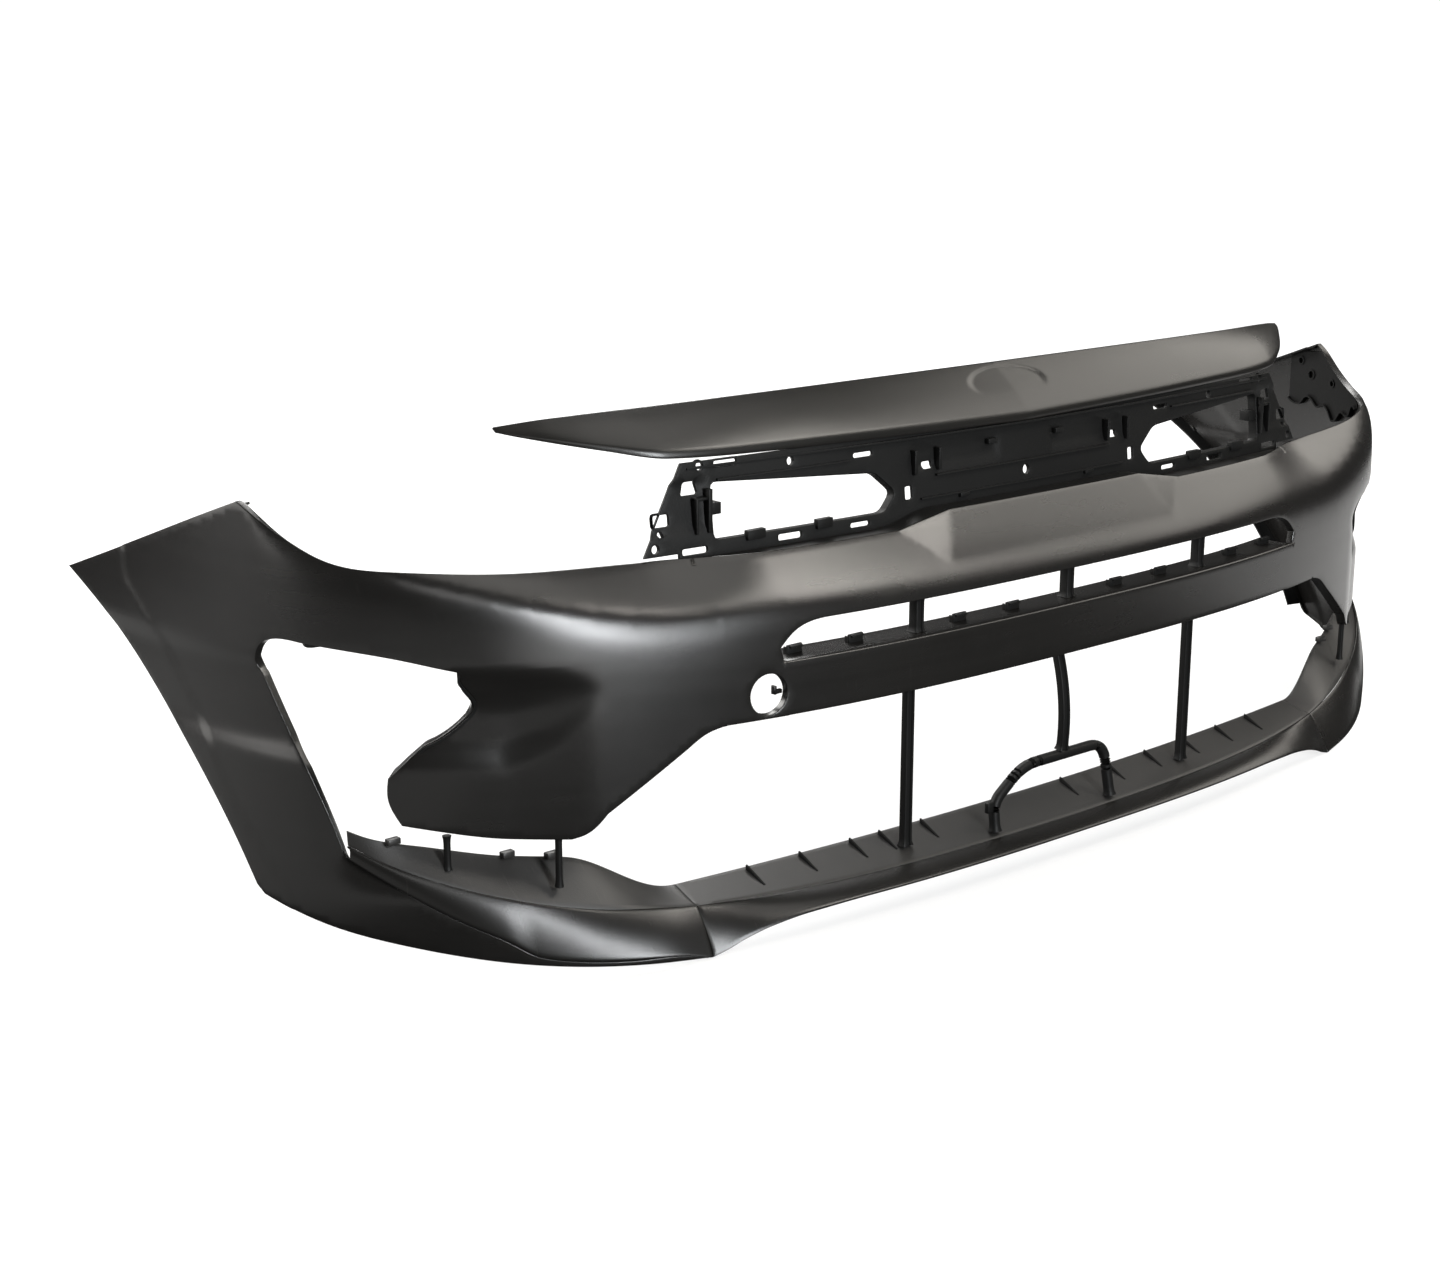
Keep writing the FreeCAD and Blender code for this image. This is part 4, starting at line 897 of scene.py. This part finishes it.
def sweep(path, sec, across=(1, 0, 0), scale=None):
    """Closed bar with the section carried along the path."""
    p = np.array(path, float)
    way = np.gradient(p, axis=0)
    way /= np.linalg.norm(way, axis=1)[:, None]
    a = np.tile(np.array(across, float), (len(p), 1))
    a -= way * np.sum(a * way, 1)[:, None]
    a /= np.linalg.norm(a, axis=1)[:, None]
    b = np.cross(way, a)
    b *= np.where(b[:, 1:2] < 0, -1, 1)
    scale = np.ones(len(p)) if scale is None else np.asarray(scale)
    ring = a[:, None] * sec[None, :, :1] + b[:, None] * sec[None, :, 1:]
    rows = p[:, None] + ring * scale[:, None, None]
    return rows.reshape(-1, 3), bar_faces(len(p), len(sec))


def post(x, z0, z1, y0, y1, bow=0.0, depth=9.0, foot=7.0):
    """Upright channel that widens into a foot at both ends."""
    t = np.linspace(0, 1, 41)
    z = z0 + (z1 - z0) * t
    y = y0 + (y1 - y0) * t - bow * 4 * t * (1 - t)
    ends = np.minimum(z - z0, z1 - z)
    return sweep(np.stack([x + 0 * t, y, z], -1), section(12, depth, 1.5, 1.4),
                 scale=1 + 0.3 * np.clip(1 - ends / foot, 0, 1) ** 2)


print("channel section of", len(section(12, 9, 1.5, 1.4)), "points")

# %% [markdown]
# The two outer posts stand on the shelf. The middle one stands on the hoop, so that air can pass
# under it. Three short posts hold the slot open in the same way. Every post stops a small gap
# short of the parts it meets, as separate mouldings do.

# %% Posts and hoop
POST_X, POST_Y = 0.479 * SEAM, NOSE_Y + 36
post_foot = shelf_height(POST_X, POST_Y + 5) + GAP
for side, way in (("left", 1), ("right", -1)):
    bar = post(way * POST_X, post_foot, BAR_Z - GAP, POST_Y, POST_Y)
    add_piece("intake_post_bar_" + side, bar, ["intake_post_" + side], black_pp)
HOOP_Y, HOOP_X0, HOOP_X1 = NOSE_Y + 14, -114, 76
hoop_z = shelf_height(HOOP_X0, HOOP_Y + 6) + GAP + 0.6
hoop_top = hoop_z + 62


def bend(a, b, c, reach, steps):
    """Points of a rounded corner at b, between the directions of a and c."""
    back, ahead = (a - b) / np.linalg.norm(a - b), (c - b) / np.linalg.norm(c - b)
    return [b + back * reach * (1 - t) ** 2 + ahead * reach * t * t
            for t in np.linspace(0, 1, steps)]


def round_corners(points, radius, steps=7):
    """Open line with every inner corner rounded, never past the middle of a side."""
    p = [np.array(q, float) for q in points]
    out = [p[0]]
    for a, b, c in zip(p, p[1:], p[2:]):
        reach = min(radius, 0.45 * np.linalg.norm(a - b), 0.45 * np.linalg.norm(c - b))
        out += bend(a, b, c, reach, steps)
    return np.array(out + [p[-1]])


hoop_path = round_corners([(HOOP_X0, HOOP_Y, hoop_z), (HOOP_X0, HOOP_Y + 4, hoop_z + 31),
                           (HOOP_X0 + 50, POST_Y - 14, hoop_top),
                           (HOOP_X1 - 6, POST_Y - 14, hoop_top), (HOOP_X1, HOOP_Y, hoop_z)], 22)
hoop_path = resample(hoop_path, 3.0)
legs = np.minimum(np.arange(len(hoop_path)), np.arange(len(hoop_path))[::-1]) * 3.0
hoop = sweep(hoop_path, section(11.5, 11.5, 4.5), across=(0, 1, 0),
             scale=1 + 0.25 * np.clip(1 - legs / 9, 0, 1) ** 2)
tab = block((HOOP_X0 - 13, HOOP_Y - 1, hoop_z + 22), (HOOP_X0 - 4, HOOP_Y + 5, hoop_z + 34), 1.4)
add_piece("center_hoop_bar", merge([hoop, tab]), ["center_hoop"], black_pp)
bar = post(0, hoop_top + 6 + GAP, BAR_Z - GAP, POST_Y - 14, POST_Y, bow=7)
add_piece("intake_post_bar_center", bar, ["intake_post_center"], black_pp)
slot_y = NOSE_Y + 27
for name, x in (("left", POST_X), ("right", -POST_X), ("center", 3)):
    bar = post(x, LEDGE_Z + GAP, SLOT_Z - GAP, slot_y, slot_y, depth=12, foot=6)
    add_piece("slot_post_bar_" + name, bar, ["slot_post_" + name], black_pp)

# %% [markdown]
# The grille frame hides behind the grille, so it is left black and coarse. It is a swept plate
# with two openings whose edges fold back, rows of clip slots, round screw holes, and ledges
# that meet the band and the upper panel. Steps, ribs and tabs are moulded on for the clips.

# %% Grille frame
TOP_HALF, LOW_HALF = CORNER - 376, CORNER - 319
FRAME_LOW, FRAME_TOP = BAND_Z - 7, FRAME_Z - 3
FRAME_BACK, FRAME_SWEEP, FRAME_LEAN = 84, 26.65, 0.12


def frame_y(x, z):
    """Depth of the plate: bowed across the car and leaning back."""
    return NOSE_Y + FRAME_BACK + FRAME_SWEEP * (x / LOW_HALF) ** 2 + FRAME_LEAN * (z - FRAME_LOW)


def frame_face(x, z):
    """The plate steps back a little round the openings and along the middle."""
    a = np.abs(x)
    pocket = 2.5 * (ramp(a, 40, 46) - ramp(a, 168, 174)) * (ramp(z, FRAME_Z - 44, FRAME_Z - 40)
                                                          - ramp(z, FRAME_Z - 20, FRAME_Z - 16))
    column = 3.0 * ramp(a, TOP_HALF - 30, TOP_HALF - 27) * (ramp(z, BAND_Z + 22, BAND_Z + 25)
                                                          - ramp(z, FRAME_Z - 24, FRAME_Z - 20))
    return np.stack([x, frame_y(x, z) + pocket + column, z + 0 * x], -1)


def ring_of(points, radius, edge=0.8, fold=0.0, step=2.0):
    """Closed rounded outline for a hole."""
    p = [np.array(q, float) for q in points]
    out = []
    for a, b, c in zip(p[-1:] + p[:-1], p, p[1:] + p[:1]):
        out += bend(a, b, c, radius, 5)
    line = resample(out + out[:1], step)[:-1]
    flat = [np.full(len(line), edge), np.full(len(line), fold)]
    return anticlockwise(np.column_stack([line] + flat))


def oblong(x, z, w, h, r=1.8, taper=0.0):
    """Slot centred at (x, z) with rounded corners; a taper narrows its top."""
    return ring_of([(x - w / 2, z - h / 2), (x + w / 2, z - h / 2),
                    (x + w / 2 - taper, z + h / 2), (x - w / 2 + taper, z + h / 2)], r)


def round_hole(x, z, r):
    """Screw hole centred at (x, z)."""
    turns = [(x + r * math.cos(a), z + r * math.sin(a)) for a in np.linspace(0, 6.283, 19)[:-1]]
    return ring_of(turns, 0.3, 0.6, 1.5, 1.6)


print("one clip slot has", len(oblong(0, 0, 28, 6)), "outline points")

# %% [markdown]
# Positions across the frame are given for one side and used for both. Some are shares of its
# half width, so they would move with it; others keep a fixed distance from its end.

# %% Holes in the frame
inner, outer_end = 0.421 * TOP_HALF, TOP_HALF - 33
SLOTS = ((TOP_HALF - 53, FRAME_Z - 8, 28, 6), (0.511 * TOP_HALF, FRAME_Z - 19, 26, 5),
         (LOW_HALF - 31, FRAME_Z - 57, 18, 12), (LOW_HALF - 66, BAND_Z + 4, 30, 6.5),
         (0.73 * TOP_HALF, BAND_Z + 4, 30, 6.5), (0.532 * TOP_HALF, BAND_Z + 4, 26, 5),
         (0.383 * TOP_HALF, FRAME_Z - 66, 10, 14), (0.319 * TOP_HALF, FRAME_Z - 40, 14, 7))
SCREWS = ((LOW_HALF - 28, FRAME_Z - 70, 3), (0.715 * TOP_HALF, FRAME_Z - 15, 4.5),
          (TOP_HALF - 22, FRAME_Z - 8, 4.5), (LOW_HALF - 20, BAND_Z + 11, 4.5))
holes = []
for way in (-1, 1):
    opening = [(way * outer_end, FRAME_Z - 25), (way * 0.594 * TOP_HALF, FRAME_Z - 36),
               (way * 0.479 * TOP_HALF, FRAME_Z - 40), (way * inner, FRAME_Z - 63),
               (way * (inner + 17), BAND_Z + 12), (way * outer_end, BAND_Z + 12)]
    holes.append(ring_of(opening, 7, 1.2, 8, 4))
    holes += [oblong(way * x, z, w, h) for x, z, w, h in SLOTS]
    holes.append(oblong(way * (TOP_HALF - 9), FRAME_Z - 29, 20, 13, 1.8, 3.5))
    holes += [round_hole(way * x, z, r) for x, z, r in SCREWS]
holes.append(round_hole(0, FRAME_Z - 62, 5.5))
print("frame holes", len(holes))

# %% [markdown]
# The plate is one thick sheet with all its holes. One ledge at its foot reaches the band and one
# at its top reaches the upper panel. The raised blocks stiffen it and locate the clips.

# %% Frame plate with its ledges
STEP_Z = BAND_Z + 3.5
low_x = LOW_HALF - 57 * 10.5 / 98
corners = [(-low_x, STEP_Z), (-SEAM, STEP_Z), (-SEAM, FRAME_LOW), (SEAM, FRAME_LOW),
           (SEAM, STEP_Z), (low_x, STEP_Z), (TOP_HALF, FRAME_TOP), (-TOP_HALF, FRAME_TOP)]
rim = outline_of(closed(corners, (0.8, 0)))
shells = [sheet(frame_face, rim, holes, spacing=6.0, wall=3.5)]


def sill_face(u, v):
    """Ledge from the frame's foot to just behind the band's upper edge."""
    s = (SEAM - 6) * (2 * u - 1)
    z = BAND_Z + 13 * (1 - ramp(np.abs(s), NOTCH_IN, NOTCH_OUT)) - 3
    front = band_skin(s, z) + (0, WALL * 1.5 + GAP, 0)
    rear = np.stack([front[..., 0], frame_y(front[..., 0], z) + 1, z], -1)
    return front + (rear - front) * v[..., None]


def head_face(u, v):
    """Ledge from the frame's top to just behind the upper panel."""
    x = (TOP_HALF - 6) * (2 * u - 1)
    rear = frame_y(x, FRAME_TOP) + 1
    near = np.minimum(NOSE_Y + 82 + panel_low_y(np.abs(x)) + WALL + 2, rear - 3)
    return np.stack([x, near + (rear - near) * v, FRAME_TOP - 5 + 0 * x], -1)


def shelf_on_frame(x0, x1, z, out, slope=0.0, thick=2.0):
    """Ledge standing forward from the frame."""
    def fn(u, v):
        x = x0 + (x1 - x0) * u
        zz = z + slope * u
        return np.stack([x, frame_y(x, zz) - out * (1 - v) + 1.0, zz + 0 * x], -1)
    return plate(fn, abs(x1 - x0), out, max(6, int(abs(x1 - x0) / 12)), 3, thick, 0.5)


def raised(way, x0, x1, z0, z1, out, deep=3.0):
    """Raised block on the frame, on one side of the middle."""
    xs = sorted((way * x0, way * x1))
    y = frame_y((x0 + x1) / 2, (z0 + z1) / 2)
    return block((xs[0], y - out, z0), (xs[1], y + deep, z1), 0.8)


BLOCKS = ((outer_end + 3, outer_end + 8, BAND_Z + 20, FRAME_Z - 30, 5),
          (outer_end + 20, outer_end + 23, BAND_Z + 20, FRAME_Z - 38, 5),
          (outer_end + 3, outer_end + 23, FRAME_Z - 41, FRAME_Z - 38, 5),
          (outer_end - 13, outer_end + 1, FRAME_Z - 58, FRAME_Z - 46, -2, 16),
          (0.80 * TOP_HALF, 0.85 * TOP_HALF, BAND_Z + 7, BAND_Z + 17, 4),
          (0.615 * TOP_HALF, 0.66 * TOP_HALF, BAND_Z + 7, BAND_Z + 17, 4),
          (0.36 * TOP_HALF, 0.37 * TOP_HALF, FRAME_Z - 48, FRAME_Z - 22, 6),
          (0.285 * TOP_HALF, 0.295 * TOP_HALF, FRAME_Z - 46, FRAME_Z - 22, 6),
          (0.20 * TOP_HALF, 0.23 * TOP_HALF, BAND_Z + 15, BAND_Z + 20, 4),
          (0.10 * TOP_HALF, 0.13 * TOP_HALF, FRAME_Z - 28, FRAME_Z - 22, 4))
shells += [plate(sill_face, 2 * SEAM, 30, 160, 6, 2.5, 0.6),
           plate(head_face, 2 * TOP_HALF, 12, 120, 4, 2.5, 0.6),
           shelf_on_frame(-0.30 * TOP_HALF, 0.30 * TOP_HALF, FRAME_Z - 50, 5),
           shelf_on_frame(-0.35 * TOP_HALF, 0.35 * TOP_HALF, FRAME_Z - 73, 4)]
for way in (-1, 1):
    shells.append(shelf_on_frame(way * (TOP_HALF - 40), way * 0.55 * TOP_HALF, FRAME_Z - 22, 4))
    shells += [raised(way, *sizes) for sizes in BLOCKS]
add_piece("grille_frame_plate", merge(shells), ["grille_frame"], black_pp)

# %% [markdown]
# Small mouldings finish the middle: clips on the ledge for the slot's insert, thin ribs on the
# shelf, and the two struts that keep the slit open. Each is a little rounded solid, because a
# moulded part has no knife edges.

# %% Clips, ribs and struts
clips = []
for share in (-0.92, -0.737, -0.395, -0.203, 0.203, 0.395, 0.737, 0.92):
    base = at(np.array([share * SLOT_TIP]), LEDGE_Z, 26.0)[0]
    clips.append(block(base + (-10, 0, -0.3), base + (10, 3, 9), 0.9))
    clips.append(block(base + (-8, -3.5, 6), base + (8, 1, 8.6), 0.7))
    clips += [block(base + (x - 0.9, 1, -0.3), base + (x + 0.9, 9, 6), 0.5) for x in (-7, 7)]
add_piece("ledge_clip_set", merge(clips), ["ledge_clips"], black_pp)


def shelf_rib(x):
    """Thin rib on the shelf that rises towards the rear."""
    rear_y = shelf_rear(np.array([x]))[0][1] - 4
    y = np.linspace(rear_y - 28, rear_y, 9)
    base = np.array([shelf_height(x, q) for q in y])
    rise = np.interp(y, [rear_y - 28, rear_y - 3, rear_y], [1.0, 5.2, 5.0])
    rows = []
    for q, b, r in zip(y, base, rise):
        rows += [(x, q, b - 0.2), (x, q, b + r - 0.5), (x + 0.7, q, b + r), (x + 1.8, q, b + r),
                 (x + 2.5, q, b + r - 0.5), (x + 2.5, q, b - 0.2)]
    return np.array(rows), bar_faces(len(y), 6)


RIB_SHARES = (-0.822, -0.689, -0.556, -0.476, -0.358, 0.078, 0.241, 0.378, 0.524, 0.661, 0.789)
ribs = [shelf_rib(share * STEP) for share in RIB_SHARES]
add_piece("shelf_rib_set", merge(ribs), ["shelf_ribs"], black_pp)


def strut(s):
    """Upright bar from the slit's shelf to the underside of the cheek."""
    top = skin(np.array([s]), BAR_Z - 86)[0]
    inner_point = at(np.array([s]), BAR_Z - 86, 10.0)[0]
    way = inner_point - at(np.array([s]), BAR_Z - 86)[0]
    way[2] = 0
    top = top + way / np.linalg.norm(way) * (WALL + 4)
    foot = (shelf_rear(np.array([s]))[0][2] + shelf_front(np.array([s]))[0][2]) / 2 - 2
    t = np.linspace(0, 1, 15)
    path = np.stack([top[0] + 0 * t, top[1] + 0 * t, top[2] + (foot - top[2]) * t], -1)
    return sweep(path, section(6.6, 6.6, 2.8), scale=1 + 0.35 * (2 * np.abs(t - 0.5)) ** 6)


struts = merge([strut(CORNER - 90), strut(CORNER - 196)])
add_pair("cheek_strut_", struts, "cheek_ties_", black_pp)

# %% [markdown]
# Behind the wings sit the parts that meet the body: a slotted flange under the fender, a
# drilled flange along the wheel arch and a perforated seat for the headlamp. They follow the
# same edges as the wing, so they are ribbons of the same surface.

# %% Flanges
def edge_ribbon(line, width, holes=(), thick=2.5):
    """Strip standing inward from the skin's inner face along an (s, z) line."""
    line = resample(spline(line), 3.0)
    d = np.concatenate([[0], np.cumsum(np.linalg.norm(np.diff(line, axis=0), axis=1))])

    def surface(u, v):
        s, z = np.interp(u, d, line[:, 0]), np.interp(u, d, line[:, 1])
        return at(s, z) - side_normal(s) * (WALL + GAP + v)[..., None]
    length = d[-1]
    ends = [(6, 0), (length - 6, 0), (length - 6, width), (6, width)]
    outline = outline_of(closed(ends, (0.5, 0)))
    return sheet(surface, outline, [h(length) for h in holes], spacing=5.0, wall=thick), length


def slot_at(share, v, w, h):
    """Slot at a share of a ribbon's length, which is known only once it is laid out."""
    return lambda length: oblong(share * length, v, w, h, 1.4)


def screw_at(share, v, r):
    """Screw hole at a share of a ribbon's length."""
    return lambda length: round_hole(share * length, v, r)


fender, length = edge_ribbon([(s, z - 2.5) for s, z in fender_edge], 19,
                             [slot_at(q, 12, 22, 7) for q in (0.16, 0.32, 0.48, 0.64, 0.80)])
arch, arch_length = edge_ribbon(arch_edge, 24,
                                [screw_at(q, 12, 3.5) for q in (0.15, 0.38, 0.62, 0.85)])
print("flanges", round(length), round(arch_length), "mm long")

# %% [markdown]
# The headlamp rests on a perforated seat behind the wing's upper edge. Its lower side is cut
# in waves, because material is left only where a screw or a clip needs it.

# %% Headlamp seats
edge_height = profile(headlamp_edge + fender_edge[1:])


def seat_face(s, z):
    """Face just behind the wing's inner side."""
    return skin(s, z) - side_normal(s) * (WALL + 2 * GAP)


seat_s = np.linspace(CORNER + 5, VERTEX + 50, 15)
seat_top = [(s, edge_height(s) - 7 - 5 * float(ramp(s, VERTEX - 20, VERTEX + 5))) for s in seat_s]
seat_low = [(s, edge_height(s) - 26 - 55 * float(ramp(s, CORNER + 5, CORNER + 95))
             + 6 * math.sin(i * 1.9)) for i, s in enumerate(seat_s)]
seat_runs = [(seat_top, 0.6, 0), ([seat_top[-1], seat_low[-1]], 0.6, 0),
             (list(reversed(seat_low)), 0.6, 4), ([seat_low[0], seat_top[0]], 0.6, 0)]
seat_holes = [round_hole(s, edge_height(s) - drop, r)
              for s, drop, r in ((VERTEX + 30, 24, 4), (VERTEX + 8, 44, 5), (VERTEX - 40, 34, 4))]
seat = sheet(seat_face, outline_of(seat_runs, 3.0), seat_holes, spacing=5.0, wall=2.5)
for side in ("left", "right"):
    for name, shell, nodes in (("fender_flange_strip_", fender, "fender_flange_"),
                               ("arch_flange_strip_", arch, "arch_flange_"),
                               ("headlamp_seat_", seat, "headlamp_bracket_")):
        half = shell if side == "left" else flip(shell)
        add_piece(name + side, half, [nodes + side], black_pp)

# %% [markdown]
# The floor is a pale sheet that glows, a little less near the part than far away, so that the
# part stands on a faint contact shadow. It is kept out of mirror and bounce rays. The lights
# near the floor, added below, send up the light that a real pale floor would.

# %% Floor
FLOOR_HALF = 40
rim = [(-FLOOR_HALF, -FLOOR_HALF, 0), (FLOOR_HALF, -FLOOR_HALF, 0),
       (FLOOR_HALF, FLOOR_HALF, 0), (-FLOOR_HALF, FLOOR_HALF, 0)]
floor_mesh = bpy.data.meshes.new("floor")
floor_mesh.from_pydata(rim, [], [(0, 1, 2, 3)])
floor = bpy.data.objects.new("floor", floor_mesh)
bpy.context.scene.collection.objects.link(floor)
pale = bpy.data.materials.new("pale_floor")
pale.use_nodes = True
tree = pale.node_tree
floor_shader = tree.nodes["Principled BSDF"]
floor_shader.inputs["Base Color"].default_value = (0.36, 0.36, 0.36, 1)
floor_shader.inputs["Roughness"].default_value = 0.9
floor_shader.inputs["Emission Color"].default_value = (1, 1, 1, 1)
spread = new_node(tree, "TexGradient", gradient_type="SPHERICAL")
spot = new_node(tree, "Mapping", Scale=(0.28, 0.28, 0.28))
where = new_node(tree, "TexCoord")
level = new_node(tree, "MapRange", **{"To Min": 1.0, "To Max": 0.55})
wire(tree, (where, "Object", spot, "Vector"), (spot, "Vector", spread, "Vector"),
     (spread, "Fac", level, "Value"), (level, "Result", floor_shader, "Emission Strength"))
floor_mesh.materials.append(pale)
floor.visible_glossy = False
floor.visible_diffuse = False
print("floor", 2 * FLOOR_HALF, "m wide")

# %% [markdown]
# Satin plastic shows the lights more than its own colour, so the tone of a face is set by what
# that face mirrors. Two softboxes on the right light the tops of the folds, a tall narrow one
# draws the bright streak down the near corner, weak ones fill the left front and the top, and
# three more open up the back. Faces that mirror none of them stay nearly black.

# %% Softboxes
def softbox(name, spot, target, width, height, power, tint=(1, 1, 1)):
    """Rectangular light at spot, turned to target and unseen by the camera."""
    light = bpy.data.lights.new(name, "AREA")
    light.shape, light.size, light.size_y = "RECTANGLE", width, height
    light.energy, light.color = power, tint
    obj = bpy.data.objects.new(name, light)
    obj.location = spot
    obj.visible_camera = False
    obj.rotation_euler = (Vector(target) - Vector(spot)).to_track_quat("-Z", "Y").to_euler()
    bpy.context.scene.collection.objects.link(obj)


WARM, SOFT = (1, 0.955, 0.88), (1, 0.99, 0.97)
softbox("right_wide", (3.1, -0.74, 2.45), (0.1, -0.2, 0.4), 2.7, 1.7, 46, WARM)
softbox("right_front", (1.4, -1.85, 2.9), (0.0, -0.2, 0.4), 1.0, 1.0, 44, WARM)
softbox("near_corner", (-0.5, -3.1, 0.98), (-0.6, -0.25, 0.33), 0.6, 1.85, 128, (0.95, 0.98, 1))
softbox("left_front", (-1.7, -2.75, 2.55), (-0.7, -0.2, 0.3), 1.4, 1.2, 13, SOFT)
softbox("overhead", (0.4, -0.7, 3.4), (-0.2, -0.2, 0.4), 1.8, 1.4, 16, (1, 0.97, 0.92))
softbox("left_back", (-3.2, 1.4, 1.0), (-0.8, 0.1, 0.2), 2.4, 2.0, 50, (1, 0.98, 0.95))
softbox("back_left", (-1.6, 2.9, 2.2), (-0.3, 0.0, 0.3), 2.4, 1.8, 140, SOFT)
softbox("back_right", (1.2, 2.3, 3.2), (0.3, 0.0, 0.3), 2.0, 1.6, 110, SOFT)
for name, spot, size, power in (("floor_left", (-1.7, -0.2, 0.01), (1.5, 2.8), 6.5),
                                ("floor_right", (1.8, 0.1, 0.011), (1.5, 2.6), 14),
                                ("floor_back", (0.0, 1.2, 0.013), (1.5, 1.8), 15),
                                ("floor_front", (-0.85, -1.75, 0.012), (0.5, 0.8), 6)):
    softbox(name, spot, (spot[0], spot[1], 1.0), *size, power, SOFT)
print("softboxes", len(bpy.data.lights))

# %% [markdown]
# The camera sees a nearly white world, while every other ray meets a dim one. The part then
# stands out against a bright background and its shaded faces still stay dark.

# %% World
SEEN_WHITE, ROOM_GLOW = 0.98, 0.045
world = bpy.data.worlds.new("studio")
bpy.context.scene.world = world
world.use_nodes = True
tree = world.node_tree
sky = tree.nodes["Background"]
sky.inputs["Color"].default_value = (1, 1, 1, 1)
ray = new_node(tree, "LightPath")
glow = new_node(tree, "Math", operation="MULTIPLY_ADD")
glow.inputs[1].default_value, glow.inputs[2].default_value = SEEN_WHITE, ROOM_GLOW
wire(tree, (ray, "Is Camera Ray", glow, 0), (glow, 0, sky, "Strength"))
bpy.context.scene.view_settings.view_transform = "Standard"
print("world glow", ROOM_GLOW)

# %% [markdown]
# The camera stands off the front left corner, a little above the part, with a lens slightly
# longer than normal. The near wing fills the foreground and the far one runs off behind.

# %% Camera
camera_data = bpy.data.cameras.new("camera")
camera_data.lens, camera_data.sensor_width = 57.5, 36.0
camera_data.clip_end = 200
camera = bpy.data.objects.new("camera", camera_data)
camera.location = (-1.8768, -1.8874, 0.8883)
camera.rotation_euler = Vector((0.62760, 0.73406, -0.25938)).to_track_quat("-Z", "Y").to_euler()
bpy.context.scene.collection.objects.link(camera)
bpy.context.scene.camera = camera
print("camera at", tuple(round(v, 2) for v in camera.location))
